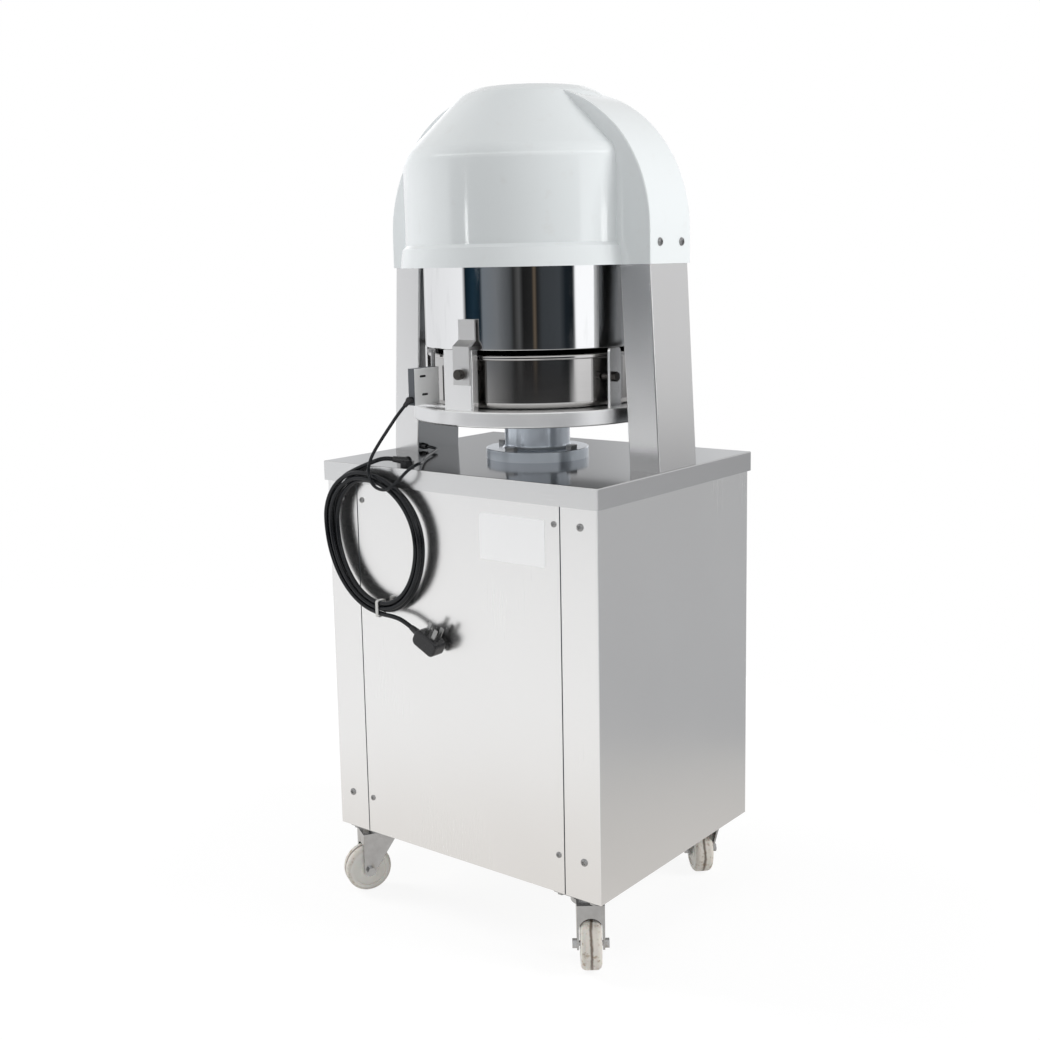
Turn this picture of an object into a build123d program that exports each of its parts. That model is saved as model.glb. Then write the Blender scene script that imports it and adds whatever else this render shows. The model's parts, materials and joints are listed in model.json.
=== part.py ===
"""Electric hydraulic dough divider on casters: cabinet, table, pan, guard drum, knife press and hood.

Frame: origin on the floor under the press axis, +Z up, operator at -Y, rear panel at +Y.
Left and right are the operator's, so left is -X. Millimetres.
"""
import math
import os

from build123d import *

# Cabinet and table
cabinet_width = 520.0
cabinet_depth = 418.0
cabinet_height = 602.0
caster_height = 112.0
panel_sheet = 1.5
return_width = 62.5
panel_gap = 2.0
table_overhang = 4.0
table_sheet = 2.0
table_apron = 30.5
table_edge_radius = 1.5
bed_thickness = 12.0
bed_margin = 10.0

# Welded base frame
corner_post_width = 80.0
corner_post_depth = 30.0
corner_post_wall = 3.0
rail_height = 40.0
rail_thickness = 8.0
gusset_width = 98.0
gusset_depth = 112.0
gusset_thickness = 8.0
bottom_sheet = 2.0

# Panel screws
screw_head_radius = 4.5
screw_head_height = 2.2
screw_shank_radius = 2.4
screw_shank_length = 5.5
screw_hole_clearance = 0.2
return_screw_inset = 29.0
panel_screw_inset = 9.5
screw_top_drop = 57.0
screw_bottom_rise = 58.0

# Pedestal, work disc and pan
flange_radius = 81.0
flange_thickness = 16.0
column_radius = 51.5
column_root_radius = 6.0
pedestal_height = 67.0
disc_radius = 193.5
disc_thickness = 23.5
disc_edge_radius = 2.5
pan_radius = 165.0
pan_height = 79.5
pan_wall = 2.5
pan_corner_radius = 10.0
pan_lip = 3.5
pan_lip_height = 7.0
pan_lip_radius = 2.4

# Bolts with hexagon heads, one size for the pedestal and the cylinder flange
bolt_radius = 5.0
bolt_head_radius = 9.6
bolt_head_height = 6.4
bolt_hole_clearance = 0.2
pedestal_bolt_circle = 67.0
bolt_grip = 10.0

# Uprights and the press frame inside them
upright_width = 52.0
upright_depth = 102.6
upright_foot_inner = 208.5
upright_lean = 18.5
upright_height = 361.0
upright_sheet = 1.5
upright_corner_radius = 2.5
tie_gap = 1.0
tie_thickness = 13.0
tie_depth = 60.0
tie_clearance = 1.0
crown_thickness = 20.0
crown_depth = 68.0
crown_boss_radius = 78.0
crown_headroom = 4.0

# Guard drum
guard_radius = 172.0
guard_wall = 2.0
guard_gap = 8.0
guard_height = 134.0
guard_exposed = 120.0
guard_lift = 90.0
guard_rim_radius = 0.9
lug_height = 12.0
lug_width = 24.0
guide_rod_radius = 4.0
guide_rod_offset = 8.0
lug_margin = 7.0
guide_collar_radius = 6.5
guide_collar_height = 6.0
running_clearance = 0.06
seat_clearance = 0.3
handle_length = 110.0
handle_radius = 7.0
handle_reach = 24.0
handle_rise = 12.0
handle_post_radius = 5.0
handle_post_angle = 11.5

# Hood
hood_side_clearance = 0.27
hood_crown_flat = 38.0
hood_headroom = 6.0
hood_wall = 2.5
hood_depth_clearance = 0.4
hood_edge_radius = 2.0
bulge_margin = 26.0
bulge_height = 165.0
bulge_flare = 9.0
bulge_step = 5.0
bulge_step_height = 28.0
cone_top_radius = 110.0
cone_top_drop = 9.0
cap_radius = 90.0
cap_rise = 2.0
cap_blend_radius = 30.0
hood_screw_rise = 31.0
hood_screw_spread = 58.0

# Hydraulic cylinder, ram, knives and press plate
press_stroke = 113.0
press_rest_rise = 30.0
barrel_radius = 45.0
bore_radius = 36.0
barrel_gland = 14.0
barrel_cap = 10.0
barrel_below_crown = 8.0
barrel_flange_radius = 66.0
barrel_flange_thickness = 12.0
cylinder_bolt_spacing = (97.0, 56.0)
piston_height = 18.0
piston_end_gap = 1.0
rod_radius = 16.0
knife_radius = 156.0
knife_height = 60.0
knife_thickness = 2.0
knife_clearance = 1.0
knife_setback = 2.0
ring_counts = (6, 12, 18)
carrier_thickness = 14.0
pad_thickness = 8.0
pad_post_radius = 5.0
pad_post_clearance = 1.0
yoke_thickness = 8.0
yoke_margin = 6.0
rod_hole_clearance = 2.0
collar_radius = 62.0
collar_thickness = 8.0
press_plate_travel = 40.0
spring_reserve = 39.4
spring_count = 4
spring_circle = 45.0
spring_radius = 10.0
spring_wire = 2.5
spring_turns = 7

# Rear bracket, guide finger and limit switch
bracket_width = 53.0
bracket_sheet = 3.0
bracket_reach = 188.0
bracket_height = 88.5
bracket_radial_gap = 2.5
bracket_centre_x = 0.5
arm_rise = 3.0
finger_width = 31.0
finger_thickness = 3.0
finger_centre_x = -8.5
finger_bottom_rise = 37.5
finger_bend_rise = 92.5
finger_bend_height = 9.0
finger_top_rise = 132.5
finger_gap = 2.0
finger_screw_rise = 53.5
finger_screw_radius = 3.0
finger_knob_radius = 7.0
finger_knob_length = 10.0
switch_x = 66.0
switch_thickness = 13.0
switch_front = 155.0
switch_back = 211.0
switch_height = 54.5
switch_edge_radius = 1.5
slot_length = 13.0
slot_width = 3.4
slot_depth = 1.2
slot_places = [(23.0, 0.28), (19.0, 0.78)]
plunger_y = 160.5
plunger_stem_radius = 3.0
plunger_head_radius = 8.0
plunger_head_height = 5.0
plunger_depth = 8.0
plunger_travel = 3.0

# Pan clamps at the sides
clamp_x = 176.0
clamp_y = 44.0
clamp_width = 28.0
clamp_thickness = 4.0
clamp_height = 87.5
clamp_corner_radius = 5.0
clamp_bolt_y = 47.0
clamp_bolt_rise = 45.5
clamp_bolt_radius = 4.0
clamp_head_radius = 7.4
clamp_head_height = 5.3

# Controls on the front of the uprights
start_button_rise = 190.0
lower_control_rise = 118.0
bezel_radius = 14.0
bezel_height = 3.0
bezel_barrel_radius = 11.0
bezel_barrel_depth = 14.0
button_radius = 9.0
button_clearance = 0.1
button_travel = 4.0
button_pressed_height = 4.0
stop_head_radius = 17.0
stop_head_height = 10.0
stop_travel = 5.0
knob_height = 12.0
knob_grip_width = 6.0
knob_grip_height = 7.0

# Power pack inside the cabinet
tank_size = (280.0, 200.0, 150.0)
tank_centre = (20.0, -20.0)
tank_wall = 3.0
filler_radius = 15.0
motor_radius = 65.0
motor_height = 190.0
motor_centre = (70.0, -20.0)
motor_fin_radius = 70.0
motor_fin_count = 20
motor_fin_width = 4.0
valve_size = (70.0, 110.0, 60.0)
valve_centre = (-60.0, -20.0)
valve_port_y = (10.0, -50.0)
box_size = (200.0, 85.0, 240.0)
box_wall = 1.5
box_centre_x = -30.0
box_bottom_rise = 300.0
box_cable_radius = 12.0
hose_radius = 5.0
hose_clearance = 2.0
hose_x = (-220.0, -233.0)
hose_y = 42.0
hose_rise = 90.0
hose_turn_rise = 190.0
hose_crown_drop = 20.0
hose_inset = 54.0
hose_lead_in = 45.0
hose_bend_drop = (12.0, 60.0)
port_y = 14.0
port_reach = 17.0
port_radius = 7.0
lower_port_rise = 28.0
upper_port_rise = 106.0

# Casters
caster_inset_x = 52.0
caster_inset_y = 44.0
wheel_radius = 37.5
wheel_width = 31.0
wheel_tread_radius = 8.0
wheel_dish_radius = 27.0
wheel_dish_depth = 2.0
wheel_hub_radius = 13.0
caster_trail = 30.0
caster_plate_size = 78.0
caster_plate_thickness = 4.0
raceway_radius = 26.0
raceway_height = 8.0
kingpin_radius = 6.0
kingpin_head_radius = 10.0
kingpin_head_height = 6.0
fork_crown_radius = 28.0
fork_crown_thickness = 7.0
fork_leg_thickness = 3.0
fork_leg_gap = 2.0
fork_leg_end = 10.0
fork_web_thickness = 2.5
fork_web_gap = 5.0
axle_radius = 4.0
axle_head_radius = 7.0
axle_head_height = 6.5
caster_bolt_spacing = 58.0
caster_bolt_radius = 4.0
caster_bolt_head = 6.4
caster_bolt_head_height = 5.0
caster_headings = {"rear_left": 127.7, "rear_right": 59.6, "front_left": 315.0, "front_right": 300.4}

# Power cord, coil, plug and switch lead; places are measured from the middle of the table's rear edge
cord_diameter = 7.0
lead_diameter = 5.0
coil_place = (148.0, -116.0)
coil_shape = {"top": (16.0, 111.5), "right": (102.0, 27.0), "bottom": (-15.0, -111.5), "left": (-105.0, 2.0)}
coil_pitch = {"top": 8.2, "right": 10.5, "bottom": 7.9, "left": 7.9}
coil_turns = 4.5
coil_standoff = 8.5
coil_layer_step = 7.7
coil_start_angle = 18.0
band_wall = 1.2
band_width = 5.0
band_gap = 0.5
gland_offset = (106.0, -24.0)
gland_rise = 8.0
gland_axis = (0.77, 0.61, 0.16)
gland_nut_radius = 11.0
gland_nut_height = 8.0
gland_boot_length = 22.0
gland_boot_radius = 6.5
gland_exit_straight = 12.0
cord_lead_points = [(147.0, 5.5, 8.5)]
cord_lead_straight = 19.0
foot_gland_y = 40.0
foot_gland_rise = 7.0
foot_gland_radius = 5.5
foot_gland_length = 9.0
switch_gland_axis = (0.30, 0.62, -0.72)
switch_gland_rise = 8.0
switch_gland_length = 11.0
switch_gland_radius = 5.5
switch_lead_points = [
    (103.0, 17.0, 63.0), (121.0, 20.0, 40.0), (138.0, 22.5, 16.0), (143.0, 25.0, -6.0), (133.0, 25.5, -26.0),
    (112.0, 25.5, -32.0), (93.0, 25.5, -25.0), (80.0, 22.0, -12.0), (72.0, 13.0, 0.5), (66.0, -2.0, 9.0),
    (78.0, -27.0, 6.5), (108.0, -63.0, 4.8), (134.0, -101.0, 4.3), (156.0, -143.0, 4.8),
]
switch_exit_straight = 16.0
foot_entry_straight = 25.0
plug_place = (37.0, 15.5, -257.0)
plug_pin_axis = (-0.45, 0.0, 0.893)
plug_height = 26.0
plug_width = 46.0
plug_depth = 25.0
plug_corner_radius = 9.0
plug_edge_radius = 3.0
plug_boot_length = 16.0
plug_boot_radius = 6.0
plug_tail_straight = 18.0
pin_length = 17.0
pin_width = 6.3
pin_thickness = 2.0
pin_places = [(-9.0, -7.0), (-9.0, 7.0), (9.0, 0.0)]

# Heights and places that follow from the driving dimensions
half_w = cabinet_width / 2
half_d = cabinet_depth / 2
caster_x = half_w - caster_inset_x
caster_y = half_d - caster_inset_y
table_z = caster_height + cabinet_height
table_w = cabinet_width + 2 * table_overhang
table_d = cabinet_depth + 2 * table_overhang
rear_edge = table_d / 2
bed_top = table_z - table_sheet
frame_top = bed_top - bed_thickness
frame_w = half_w - panel_sheet
frame_d = half_d - panel_sheet
gusset_top = caster_height + gusset_thickness
floor_top = gusset_top + bottom_sheet
flange_top = table_z + flange_thickness
disc_bottom = table_z + pedestal_height
disc_top = disc_bottom + disc_thickness
pan_top = disc_top + pan_height
guard_bottom = pan_top + guard_gap
guard_top = guard_bottom + guard_height
lug_bottom = guard_top - lug_height
rim_z = guard_bottom + guard_exposed
crown_bottom = guard_top + guard_lift + crown_headroom
crown_top = crown_bottom + crown_thickness
tie_inner = upright_foot_inner + upright_sheet + tie_gap
tie_x = tie_inner + tie_thickness / 2
tie_outer = tie_inner + tie_thickness
guide_x = guard_radius + guide_rod_offset
upright_top = table_z + upright_height
upright_front = upright_depth / 2
button_height = button_pressed_height + button_travel

pad_bottom = guard_bottom + press_rest_rise
pad_top = pad_bottom + pad_thickness
knife_bottom = pad_bottom + knife_setback
carrier_bottom = knife_bottom + knife_height
carrier_top = carrier_bottom + carrier_thickness
yoke_bottom = carrier_top + seat_clearance
yoke_top = yoke_bottom + yoke_thickness
collar_bottom = yoke_top + press_plate_travel + spring_reserve
barrel_bottom = crown_bottom - barrel_below_crown
bore_bottom = barrel_bottom + barrel_gland
piston_bottom = bore_bottom + press_stroke + piston_end_gap
piston_top = piston_bottom + piston_height
bore_top = piston_top + piston_end_gap
barrel_top = bore_top + barrel_cap
flange_seat = crown_top + barrel_flange_thickness
hood_top = barrel_top + hood_headroom
rim_shift = upright_lean * (rim_z - table_z) / upright_height
hood_half_width = upright_foot_inner + upright_width - rim_shift + hood_side_clearance + hood_wall
hood_arc_radius = hood_half_width - hood_crown_flat
hood_arc_z = hood_top - cap_rise - hood_arc_radius
bulge_radius = guard_radius + bulge_margin
lower_port_z = crown_top + lower_port_rise
upper_port_z = crown_top + upper_port_rise

switch_bottom = disc_top + arm_rise + bracket_sheet
switch_top = switch_bottom + switch_height
switch_mid_x = switch_x + switch_thickness / 2
bracket_inner = guard_radius + bracket_radial_gap
coil_centre = (coil_place[0], table_z + coil_place[1])
coil_layer_y = rear_edge + coil_standoff
gland_place = (gland_offset[0], rear_edge + gland_offset[1])
cord_radius = cord_diameter / 2
lead_radius = lead_diameter / 2

REAR_FACE = Plane((0, half_d, 0), x_dir=(-1, 0, 0), z_dir=(0, 1, 0))
FRONT_FACE = Plane((0, -half_d, 0), x_dir=(1, 0, 0), z_dir=(0, -1, 0))
SIDES = {"left": -1, "right": 1}

ring_total = sum(ring_counts)
ring_shares = [sum(ring_counts[:n + 1]) / ring_total for n in range(len(ring_counts))]
ring_radii = [knife_radius * math.sqrt(share) for share in ring_shares]
ring_inner = [0.0] + ring_radii[:-1]
post_circles = [0.56 * ring_radii[0]]
post_circles += [(low + high) / 2 for low, high in zip(ring_inner[1:], ring_radii[1:])]

screw_x = [half_w - return_screw_inset, half_w - return_width - panel_gap - panel_screw_inset]
screw_z = [table_z - screw_top_drop, caster_height + screw_bottom_rise]
screw_points = [(sign * x, z) for sign in (-1, 1) for x in screw_x for z in screw_z]

os.makedirs("parts", exist_ok=True)


def save(piece, name):
    """Label one finished piece and write it as its own STEP file."""
    piece.label = name
    export_step(piece, f"parts/{name}.step")


def from_edge(place):
    """Point given from the middle of the table's rear edge."""
    return Vector(place[0], rear_edge + place[1], table_z + place[2])


def upright_shift(rise):
    """How far the leaning uprights have moved inwards at a height above the table."""
    return upright_lean * rise / upright_height


def control_point(side, rise):
    """Centre of a control on the front face of an upright."""
    x = upright_foot_inner + upright_width / 2 - upright_shift(rise)
    return (side * x, table_z + rise)


def arch_sketch(shrink):
    """Front outline of the hood's arch, straight at the foot and round above, moved in by shrink."""
    half = hood_half_width - shrink
    radius = hood_arc_radius - shrink
    corner = hood_crown_flat
    reach = radius * math.sqrt(0.5)
    with BuildSketch(Plane.XZ) as outline:
        with BuildLine():
            Line((-half, rim_z), (half, rim_z))
            Line((half, rim_z), (half, hood_arc_z))
            ThreePointArc(
                (half, hood_arc_z), (corner + reach, hood_arc_z + reach), (corner, hood_arc_z + radius)
            )
            Line((corner, hood_arc_z + radius), (-corner, hood_arc_z + radius))
            ThreePointArc(
                (-corner, hood_arc_z + radius), (-corner - reach, hood_arc_z + reach), (-half, hood_arc_z)
            )
            Line((-half, hood_arc_z), (-half, rim_z))
        make_face()
    return outline.sketch


def bulge_sketch(shrink):
    """Half section of the hood's round bulge: flared skirt, step, cylinder, cone and blended cap."""
    step_z = rim_z + bulge_step_height
    shoulder_z = rim_z + bulge_height
    with BuildSketch(Plane.XZ) as outline:
        with BuildLine():
            Polyline(
                (0, rim_z),
                (bulge_radius + bulge_flare - shrink, rim_z),
                (bulge_radius + bulge_step - shrink, step_z),
                (bulge_radius - shrink, step_z + bulge_step),
                (bulge_radius - shrink, shoulder_z - shrink * 0.4),
                (cone_top_radius - shrink * 0.6, hood_top - cone_top_drop - shrink * 0.8),
                (cap_radius - shrink * 0.2, hood_top - shrink),
                (0, hood_top - shrink),
                close=True,
            )
        make_face()
        for spot in ((bulge_radius, shoulder_z), (cone_top_radius, hood_top - cone_top_drop)):
            fillet(outline.vertices().sort_by_distance(spot)[0], cap_blend_radius)
    return outline.sketch


def biarc_points(start, start_dir, end, end_dir):
    """Middle point and direction of the two tangent arcs that join two points with given directions."""
    gap = end - start
    both = start_dir + end_dir
    spread = 2 * (1 - start_dir.dot(end_dir))
    along = gap.dot(both)
    reach = (-along + math.sqrt(along * along + spread * gap.dot(gap))) / spread
    first = start + start_dir * reach
    second = end - end_dir * reach
    return (first + second) / 2, (second - first).normalized()


def wound_tube(knots, radius, end_length):
    """Tube of biarcs through (point, direction) knots, with a straight end at each side."""
    with BuildPart() as tube:
        with BuildLine() as path:
            first, first_dir = knots[0]
            last, last_dir = knots[-1]
            if end_length:
                Line(first - first_dir * end_length, first)
            for (start, start_dir), (end, end_dir) in zip(knots, knots[1:]):
                middle, middle_dir = biarc_points(start, start_dir, end, end_dir)
                TangentArc(start, middle, tangent=start_dir)
                TangentArc(middle, end, tangent=middle_dir)
            if end_length:
                Line(last, last + last_dir * end_length)
        with BuildSketch(Plane(path.line @ 0, z_dir=path.line % 0)):
            Circle(radius)
        sweep()
    return tube.part, path.wire()


def cord_tube(points, radius, name):
    """Tube on straight runs joined by arcs, each as large as its two runs allow; prints the arcs."""
    corners = [Vector(*p) for p in points]
    radii = []
    for before, corner, after in zip(corners, corners[1:], corners[2:]):
        run_in, run_out = corner - before, after - corner
        turn = math.radians(run_in.get_angle(run_out))
        radii.append(0.45 * min(run_in.length, run_out.length) / math.tan(turn / 2))
    with BuildPart() as tube:
        with BuildLine() as path:
            FilletPolyline(*corners, radius=radii)
        with BuildSketch(Plane(path.line @ 0, z_dir=path.line % 0)):
            Circle(radius)
        sweep()
    route = path.wire()
    ideal = math.pi * radius**2 * route.length
    print(f"{name}: length {route.length:.1f}, arcs {[round(r) for r in radii]}")
    print(f"{name}: volume / (section x length) {tube.part.volume / ideal:.4f}")
    return tube.part


def least_gap(line, diameter, name):
    """Print the least clear gap of a wound line to itself, measured on points along it."""
    step = diameter / 3
    count = int(line.length / step)
    spots = [line.position_at(n * step, position_mode=PositionMode.LENGTH) for n in range(count + 1)]
    gap, index = min(
        ((a - b).length, n) for n, a in enumerate(spots) for b in spots[n + 12:]
    )
    place = index * step
    print(f"{name}: length {line.length:.1f}, least gap to itself {gap - diameter:.2f} at {place:.0f}")


# Welded base frame: gusset plates, corner posts and flat rails at the top and bottom, each bar its own solid
with BuildPart() as base_gussets:
    with BuildSketch(Plane.XY.offset(caster_height)):
        for sx in (-1, 1):
            for sy in (-1, 1):
                with Locations((sx * (frame_w - gusset_width / 2), sy * (frame_d - gusset_depth / 2))):
                    Rectangle(gusset_width, gusset_depth)
                with Locations((sx * caster_x, sy * caster_y)):
                    with GridLocations(caster_bolt_spacing, caster_bolt_spacing, 2, 2):
                        Circle(caster_bolt_radius + screw_hole_clearance, mode=Mode.SUBTRACT)
    extrude(amount=gusset_thickness)
with BuildPart() as base_posts:
    post_x = frame_w - corner_post_width / 2
    post_y = frame_d - corner_post_depth / 2
    post_spots = [(sx * post_x, sy * post_y) for sx in (-1, 1) for sy in (-1, 1)]
    with BuildSketch(Plane.XY.offset(gusset_top)):
        with Locations(*post_spots):
            Rectangle(corner_post_width, corner_post_depth)
            Rectangle(
                corner_post_width - 2 * corner_post_wall,
                corner_post_depth - 2 * corner_post_wall,
                mode=Mode.SUBTRACT,
            )
    extrude(amount=frame_top - gusset_top)
    for face in (REAR_FACE, FRONT_FACE):
        with BuildSketch(face):
            with Locations(*screw_points):
                Circle(screw_shank_radius + screw_hole_clearance)
        extrude(amount=-(panel_sheet + corner_post_wall), mode=Mode.SUBTRACT)
with BuildPart() as base_rails:
    for rail_z in (gusset_top, frame_top - rail_height):
        with BuildSketch(Plane.XY.offset(rail_z)):
            for sy in (-1, 1):
                with Locations((0, sy * (frame_d - rail_thickness / 2))):
                    Rectangle(2 * (frame_w - corner_post_width), rail_thickness)
            for sx in (-1, 1):
                with Locations((sx * (frame_w - rail_thickness / 2), 0)):
                    Rectangle(rail_thickness, 2 * (frame_d - corner_post_depth))
        extrude(amount=rail_height)
save(Compound(children=[base_gussets.part, base_posts.part, base_rails.part]), "base_frame")

# Floor sheet of the cabinet, laid on the gusset plates between the posts
with BuildPart() as bottom_plate:
    with BuildSketch(Plane.XY.offset(gusset_top)):
        Rectangle(2 * (frame_w - corner_post_width - panel_gap), 2 * (frame_d - rail_thickness - panel_gap))
        Rectangle(2 * (frame_w - rail_thickness - panel_gap), 2 * (frame_d - corner_post_depth - panel_gap))
        for sx in (-1, 1):
            for sy in (-1, 1):
                with Locations((sx * caster_x, sy * caster_y)):
                    with GridLocations(caster_bolt_spacing, caster_bolt_spacing, 2, 2):
                        Circle(caster_bolt_radius + 1.0, mode=Mode.SUBTRACT)
    extrude(amount=bottom_sheet)
save(bottom_plate.part, "bottom_plate")

# Thick steel bed under the table sheet, which carries the pedestal and the press frame
with BuildPart() as bed_plate:
    with BuildSketch(Plane.XY.offset(frame_top)):
        Rectangle(2 * (frame_w - bed_margin), 2 * (frame_d - bed_margin))
        with PolarLocations(pedestal_bolt_circle, 4):
            Circle(bolt_radius, mode=Mode.SUBTRACT)
        with Locations(*[(x, hose_y) for x in hose_x]):
            Circle(hose_radius + hose_clearance, mode=Mode.SUBTRACT)
    extrude(amount=bed_thickness)
save(bed_plate.part, "bed_plate")

# Folded table top with its apron, open below
with BuildPart() as table_top:
    with BuildSketch(Plane.XY.offset(table_z - table_apron)):
        Rectangle(table_w, table_d)
    extrude(amount=table_apron)
    fillet(table_top.edges().filter_by(Axis.Z), table_edge_radius)
    fillet(table_top.faces().sort_by(Axis.Z)[-1].edges(), table_edge_radius)
    with BuildSketch(Plane.XY.offset(table_z - table_apron)):
        Rectangle(table_w - 2 * table_sheet, table_d - 2 * table_sheet)
    extrude(amount=table_apron - table_sheet, mode=Mode.SUBTRACT)
    with BuildSketch(Plane.XY.offset(bed_top)):
        with Locations((-tie_x, 0), (tie_x, 0)):
            Rectangle(tie_thickness + 2 * tie_clearance, tie_depth + 2 * tie_clearance)
        with PolarLocations(pedestal_bolt_circle, 4):
            Circle(bolt_radius + bolt_hole_clearance)
        with Locations(*[(x, hose_y) for x in hose_x]):
            Circle(hose_radius + hose_clearance)
    extrude(amount=table_sheet, mode=Mode.SUBTRACT)
save(table_top.part, "table_top")

# Side panels: folded sheets that return onto the front and the rear
for side_name, side in SIDES.items():
    with BuildPart() as side_panel:
        with BuildSketch(Plane.XY.offset(caster_height)):
            with Locations((side * (half_w - return_width / 2), 0)):
                Rectangle(return_width, cabinet_depth)
            with Locations((side * (half_w - panel_sheet - return_width / 2), 0)):
                Rectangle(return_width, cabinet_depth - 2 * panel_sheet, mode=Mode.SUBTRACT)
        extrude(amount=frame_top - caster_height)
        outer_corners = side_panel.edges().filter_by(Axis.Z).group_by(Axis.X)[0 if side < 0 else -1]
        fillet(outer_corners, table_edge_radius)
        for face in (REAR_FACE, FRONT_FACE):
            with BuildSketch(face):
                with Locations(*screw_points):
                    Circle(screw_shank_radius + screw_hole_clearance)
            extrude(amount=-panel_sheet, mode=Mode.SUBTRACT)
    save(side_panel.part, f"side_panel_{side_name}")

# Flat panels between the returns
for panel_name, face in (("rear_panel", REAR_FACE), ("front_panel", FRONT_FACE)):
    with BuildPart() as flat_panel:
        with BuildSketch(face):
            with Locations((0, (caster_height + frame_top) / 2)):
                Rectangle(2 * (half_w - return_width - panel_gap), frame_top - caster_height)
            with Locations(*screw_points):
                Circle(screw_shank_radius + screw_hole_clearance, mode=Mode.SUBTRACT)
        extrude(amount=-panel_sheet)
    save(flat_panel.part, panel_name)

# Dome-headed panel screws
with BuildPart() as panel_screws:
    for face in (REAR_FACE, FRONT_FACE):
        with BuildSketch(face):
            with Locations(*screw_points):
                Circle(screw_head_radius)
        extrude(amount=screw_head_height)
    rims = panel_screws.edges().filter_by(GeomType.CIRCLE).group_by(Axis.Y)
    fillet(rims[0] + rims[-1], screw_head_height * 0.7)
    for face in (REAR_FACE, FRONT_FACE):
        with BuildSketch(face):
            with Locations(*screw_points):
                Circle(screw_shank_radius)
        extrude(amount=-screw_shank_length)
save(panel_screws.part, "panel_screws")

# Cast pedestal: bolted flange and thick column
with BuildPart() as pedestal:
    with BuildSketch(Plane.XY.offset(table_z)):
        Circle(flange_radius)
    extrude(amount=flange_thickness)
    with BuildSketch(Plane.XY.offset(flange_top)):
        Circle(column_radius)
    extrude(amount=pedestal_height - flange_thickness)
    circles = pedestal.edges().filter_by(GeomType.CIRCLE)
    fillet(circles.filter_by_position(Axis.Z, flange_top - 1, flange_top + 1).sort_by(SortBy.RADIUS)[0],
           column_root_radius)
    fillet(circles.filter_by_position(Axis.Z, flange_top - 1, flange_top + 1).sort_by(SortBy.RADIUS)[-1],
           table_edge_radius)
    with BuildSketch(Plane.XY.offset(table_z)):
        with PolarLocations(pedestal_bolt_circle, 4):
            Circle(bolt_radius + bolt_hole_clearance)
    extrude(amount=flange_thickness, mode=Mode.SUBTRACT)
save(pedestal.part, "pedestal")

# Hexagon bolts of the pedestal flange and of the cylinder flange
with BuildPart() as frame_bolts:
    for seat_z, places, depth in (
        (flange_top, PolarLocations(pedestal_bolt_circle, 4), flange_thickness + table_sheet + bolt_grip),
        (flange_seat, GridLocations(*cylinder_bolt_spacing, 2, 2), barrel_flange_thickness + bolt_grip),
    ):
        with BuildSketch(Plane.XY.offset(seat_z)):
            with places:
                RegularPolygon(bolt_head_radius, 6)
        extrude(amount=bolt_head_height)
        with BuildSketch(Plane.XY.offset(seat_z)):
            with places:
                Circle(bolt_radius)
        extrude(amount=-depth)
save(frame_bolts.part, "frame_bolts")

# Thick polished disc that carries the pan
with BuildPart() as work_disc:
    with BuildSketch(Plane.XY.offset(disc_bottom)):
        Circle(disc_radius)
    extrude(amount=disc_thickness)
    fillet(work_disc.edges().filter_by(GeomType.CIRCLE), disc_edge_radius)
save(work_disc.part, "work_disc")

# Spun dough pan with a rounded bottom corner and a rolled lip
with BuildPart() as dough_pan:
    with BuildSketch(Plane.XZ) as pan_section:
        with BuildLine():
            Polyline(
                (0, disc_top),
                (pan_radius, disc_top),
                (pan_radius, pan_top - pan_lip_height),
                (pan_radius + pan_lip, pan_top - pan_lip_height),
                (pan_radius + pan_lip, pan_top),
                (pan_radius - pan_wall, pan_top),
                (pan_radius - pan_wall, disc_top + pan_wall),
                (0, disc_top + pan_wall),
                close=True,
            )
        make_face()
        corners = pan_section.vertices()
        fillet(corners.sort_by_distance((pan_radius, disc_top))[0], pan_corner_radius)
        corners = pan_section.vertices()
        fillet(corners.sort_by_distance((pan_radius - pan_wall, disc_top + pan_wall))[0],
               pan_corner_radius - pan_wall)
        corners = pan_section.vertices()
        fillet(corners.sort_by_distance((pan_radius + pan_lip, pan_top))[0], pan_lip_radius)
        corners = pan_section.vertices()
        fillet(corners.sort_by_distance((pan_radius + pan_lip, pan_top - pan_lip_height))[0], pan_lip_radius)
    revolve(axis=Axis.Z)
save(dough_pan.part, "dough_pan")

# Clamp plates welded to the disc at both sides of the pan
with BuildPart() as pan_clamps:
    for side in SIDES.values():
        with BuildSketch(Plane((side * clamp_x, 0, disc_top), x_dir=(0, 1, 0), z_dir=(1, 0, 0))):
            with Locations((clamp_y, clamp_height / 2)):
                RectangleRounded(clamp_width, clamp_height, clamp_corner_radius)
            with Locations((clamp_y, clamp_corner_radius / 2)):
                Rectangle(clamp_width, clamp_corner_radius)
            with Locations((clamp_bolt_y, clamp_bolt_rise)):
                Circle(clamp_bolt_radius + bolt_hole_clearance, mode=Mode.SUBTRACT)
        extrude(amount=side * clamp_thickness)
save(pan_clamps.part, "pan_clamps")

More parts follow.
